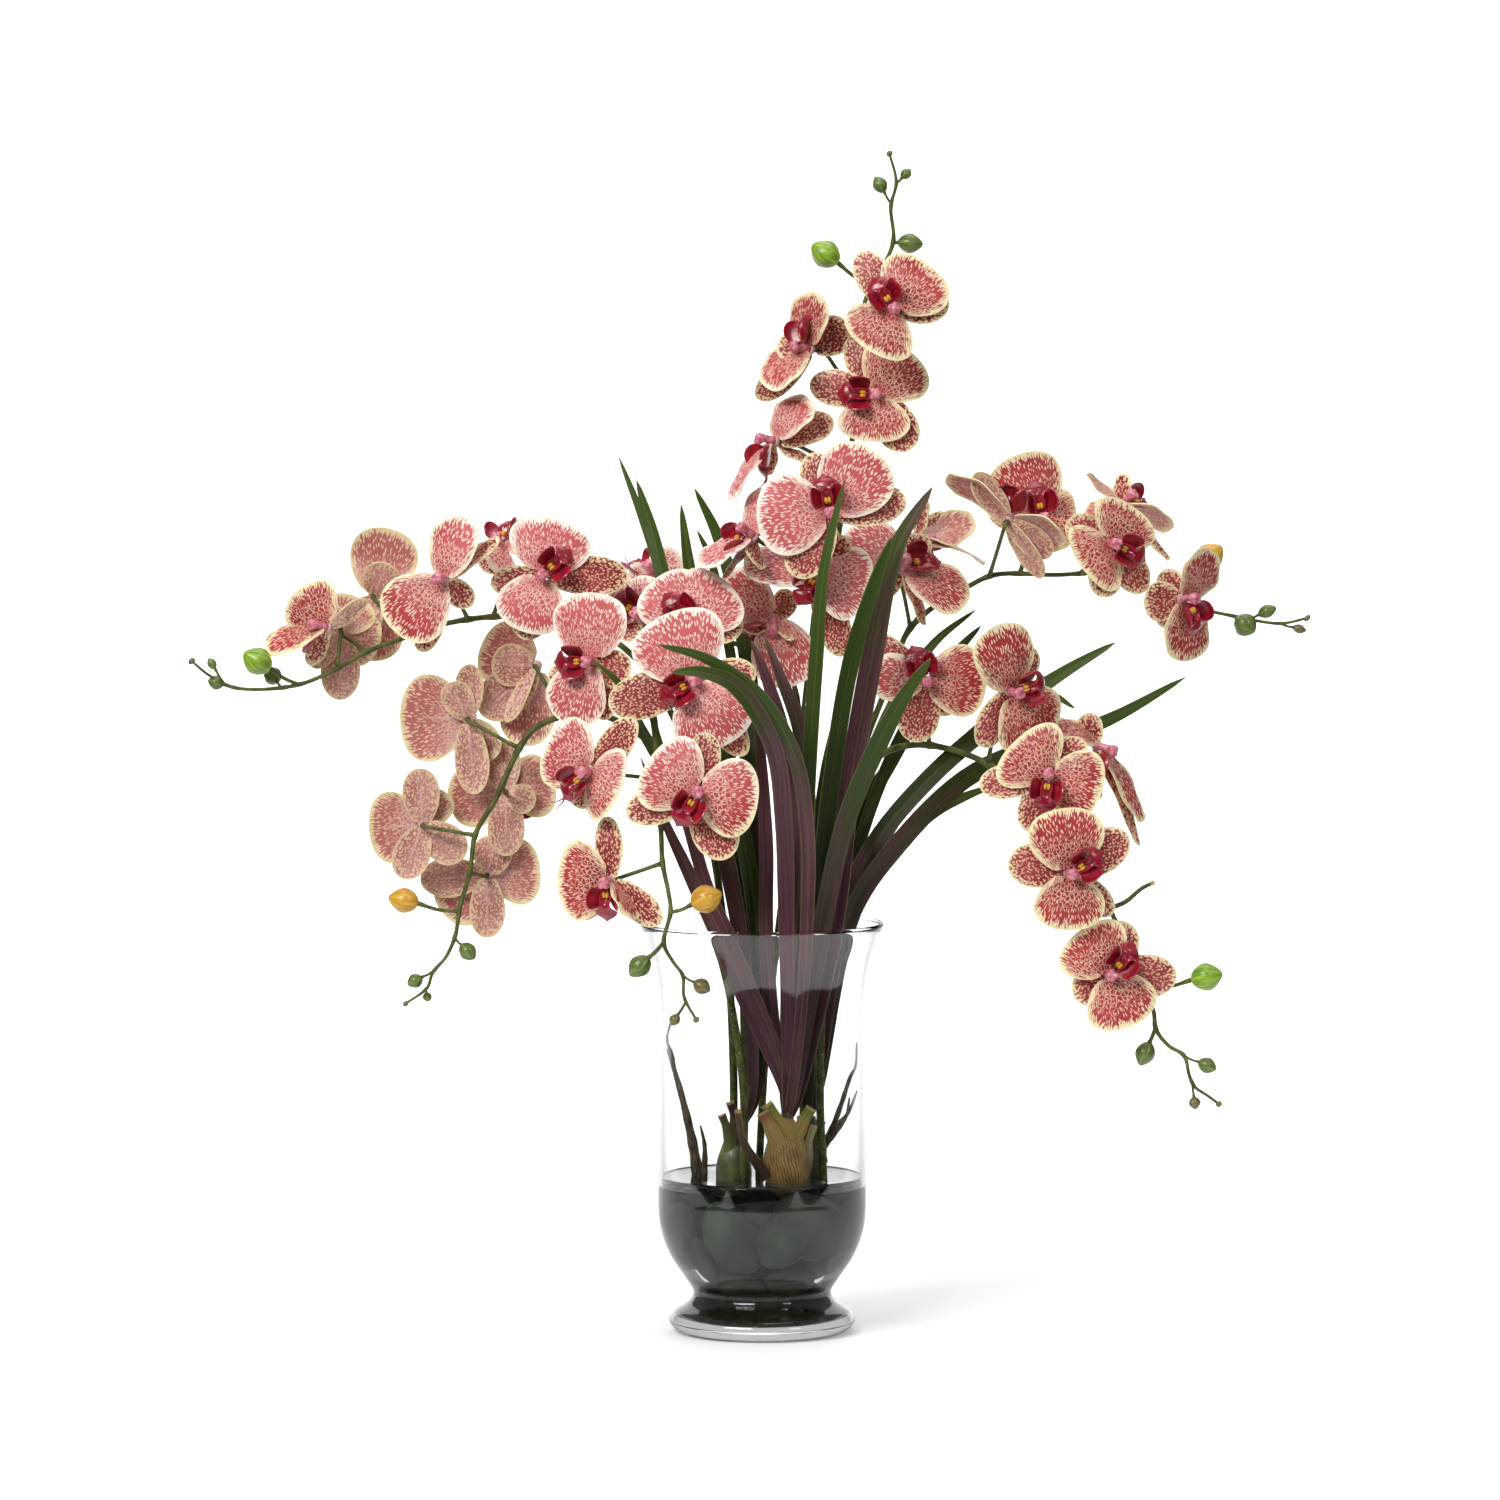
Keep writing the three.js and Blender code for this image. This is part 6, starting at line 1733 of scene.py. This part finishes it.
# Dark, light and thread colours, then threads round the bulb, their lean, where they start and gloss
BULB_LOOKS = {
    "bulb_front": ("#8c6733", "#bd9753", "#38240f", (44, 0.5, -9, 0.35)),
    "bulb_left": ("#55562a", "#7b7b4b", "#1c1d0c", (44, 2.6, 0.9, 0.9)),
    "bulb_back": ("#4a4631", "#6c6747", "#39352a", (44, 0.3, -9, 0.2)),
}
sheath_looks = [
    sheath_skin("sheath_green", "#a98a4e", "#94803c", "#6d7a28"),
    sheath_skin("sheath_rosy", "#a98a4e", "#a0844a", "#8c3f44"),
    sheath_skin("sheath_brown", "#3a2412", "#4f3a26", "#5f4c34"),
    sheath_skin("sheath_grey", "#7f7354", "#8d8262", "#9a8e6a"),
    sheath_skin("sheath_olive", "#6b6a3c", "#5e5c36", "#4a442c"),
    sheath_skin("sheath_mauve", "#4f4430", "#4a3630", "#432f2c"),
]
for bulb_name, bulb in BULBS.items():
    dark, light, thread, looks = BULB_LOOKS[bulb_name]
    skin = bulb_skin(bulb_name + "_skin", bulb_centre(bulb), dark, light, thread, looks)
    make_bulb(bulb_name, bulb, [skin] + sheath_looks)

bark = root_bark()
for root_name, branches in ROOTS.items():
    make_root(root_name, branches, bark)

make_stones(wet_stone())
make_water([water_top(), water_side()])
make_vase([glass_look("clear_glass", 1.47), glass_look("wet_glass", 1.105), glass_look("rim_glass", 1.08)])


# Studio. The floor and the lights are in metres, the camera in millimetres.

FLOOR_NEAR = 0.78
FLOOR_FLAT = 1.5
FLOOR_CURVE = 2.2
FLOOR_HALF_RUN = 4.2

# Lights: place, aim, width and height, and watts
LIGHTS = {
    "key": ((-1.7, -2.6, 2.5), (0, 0, 0.45), (2.2, 0.9), 118),
    "fill": ((2.3, -2.3, 2.0), (0, 0, 0.45), (0.9, 0.6), 24),
    "top": ((0.2, 0.3, 3.0), (0, 0, 0.4), (2.0, 2.0), 30),
}

# Strength of the world against the greater of the direction's Z and Y
SKY = {"From Min": -0.04, "From Max": 0.3, "To Min": 0.004, "To Max": 0.3}

SENSOR_WIDTH = 36
LENS = 162
CAMERA_AIM = (-9, 0, 434)


def make_floor():
    """A pale floor that curves up into a backdrop."""
    work = bmesh.new()
    corners = bmesh.ops.create_grid(work, x_segments=2, y_segments=60, size=1)["verts"]
    for corner in corners:
        run = (corner.co.y + 1) * FLOOR_HALF_RUN - FLOOR_NEAR
        bend = max(0.0, run - FLOOR_FLAT)
        angle = min(bend / FLOOR_CURVE, math.pi / 2)
        back = min(run, FLOOR_FLAT) + FLOOR_CURVE * math.sin(angle)
        height = FLOOR_CURVE * (1 - math.cos(angle)) + max(0.0, bend - FLOOR_CURVE * math.pi / 2)
        wide = 0.6 + 0.4 * smooth_share(run, -0.75, -0.1) + smooth_share(run, 0.2, 1.4)
        corner.co = (corner.co.x * wide, back, height)
    # painted light: the floor and backdrop glow, dimly near the glass and fully towards the back, so that
    # they read white
    paint = Paint("studio_floor", Roughness=0.9, Emission_Strength=1.0)
    paint.set("Base Color", (0.86, 0.86, 0.86, 1))
    away = paint.parts(paint.place())[1]
    paint.set("Emission Color", paint.mix(away.step(150, 2200), (0.2, 0.2, 0.2, 1), (1, 1, 1, 1)))
    floor = smooth_object("studio_floor", work, [paint.material])


def soft_light(name, place, aim, size, energy):
    data = bpy.data.lights.new(name, "AREA")
    data.shape = "RECTANGLE"
    data.size, data.size_y = size
    data.energy = energy
    light = add_object(name, data)
    light.location = place
    light.rotation_euler = (Vector(aim) - Vector(place)).to_track_quat("-Z", "Y").to_euler()


def make_studio():
    make_floor()
    for name, values in LIGHTS.items():
        soft_light(name, *values)
    world = bpy.data.worlds.new("studio")
    world.use_nodes = True
    tree = world.node_tree
    sky = tree.nodes["Background"]
    direction = tree.nodes.new("ShaderNodeTexCoord")
    split = tree.nodes.new("ShaderNodeSeparateXYZ")
    horizon = tree.nodes.new("ShaderNodeMapRange")
    highest = tree.nodes.new("ShaderNodeMath")
    highest.operation = "MAXIMUM"
    sky.inputs["Color"].default_value = (1, 1, 1, 1)
    for key, value in SKY.items():
        horizon.inputs[key].default_value = value
    links = (
        (direction.outputs["Generated"], split.inputs[0]),
        (split.outputs["Z"], highest.inputs[0]),
        (split.outputs["Y"], highest.inputs[1]),
        (highest.outputs[0], horizon.inputs["Value"]),
        (horizon.outputs[0], sky.inputs["Strength"]),
    )
    for output, socket in links:
        tree.links.new(output, socket)
    bpy.context.scene.world = world
    bpy.context.scene.view_settings.view_transform = "Standard"


def make_camera():
    data = bpy.data.cameras.new("camera")
    data.sensor_width = SENSOR_WIDTH
    data.lens = LENS
    camera = add_object("camera", data)
    camera.location = Vector((0, -VIEW_DISTANCE, EYE_HEIGHT)) * MM
    aim = Vector(CAMERA_AIM) * MM
    camera.rotation_euler = (aim - camera.location).to_track_quat("-Z", "Y").to_euler()
    bpy.context.scene.camera = camera


make_studio()
make_camera()
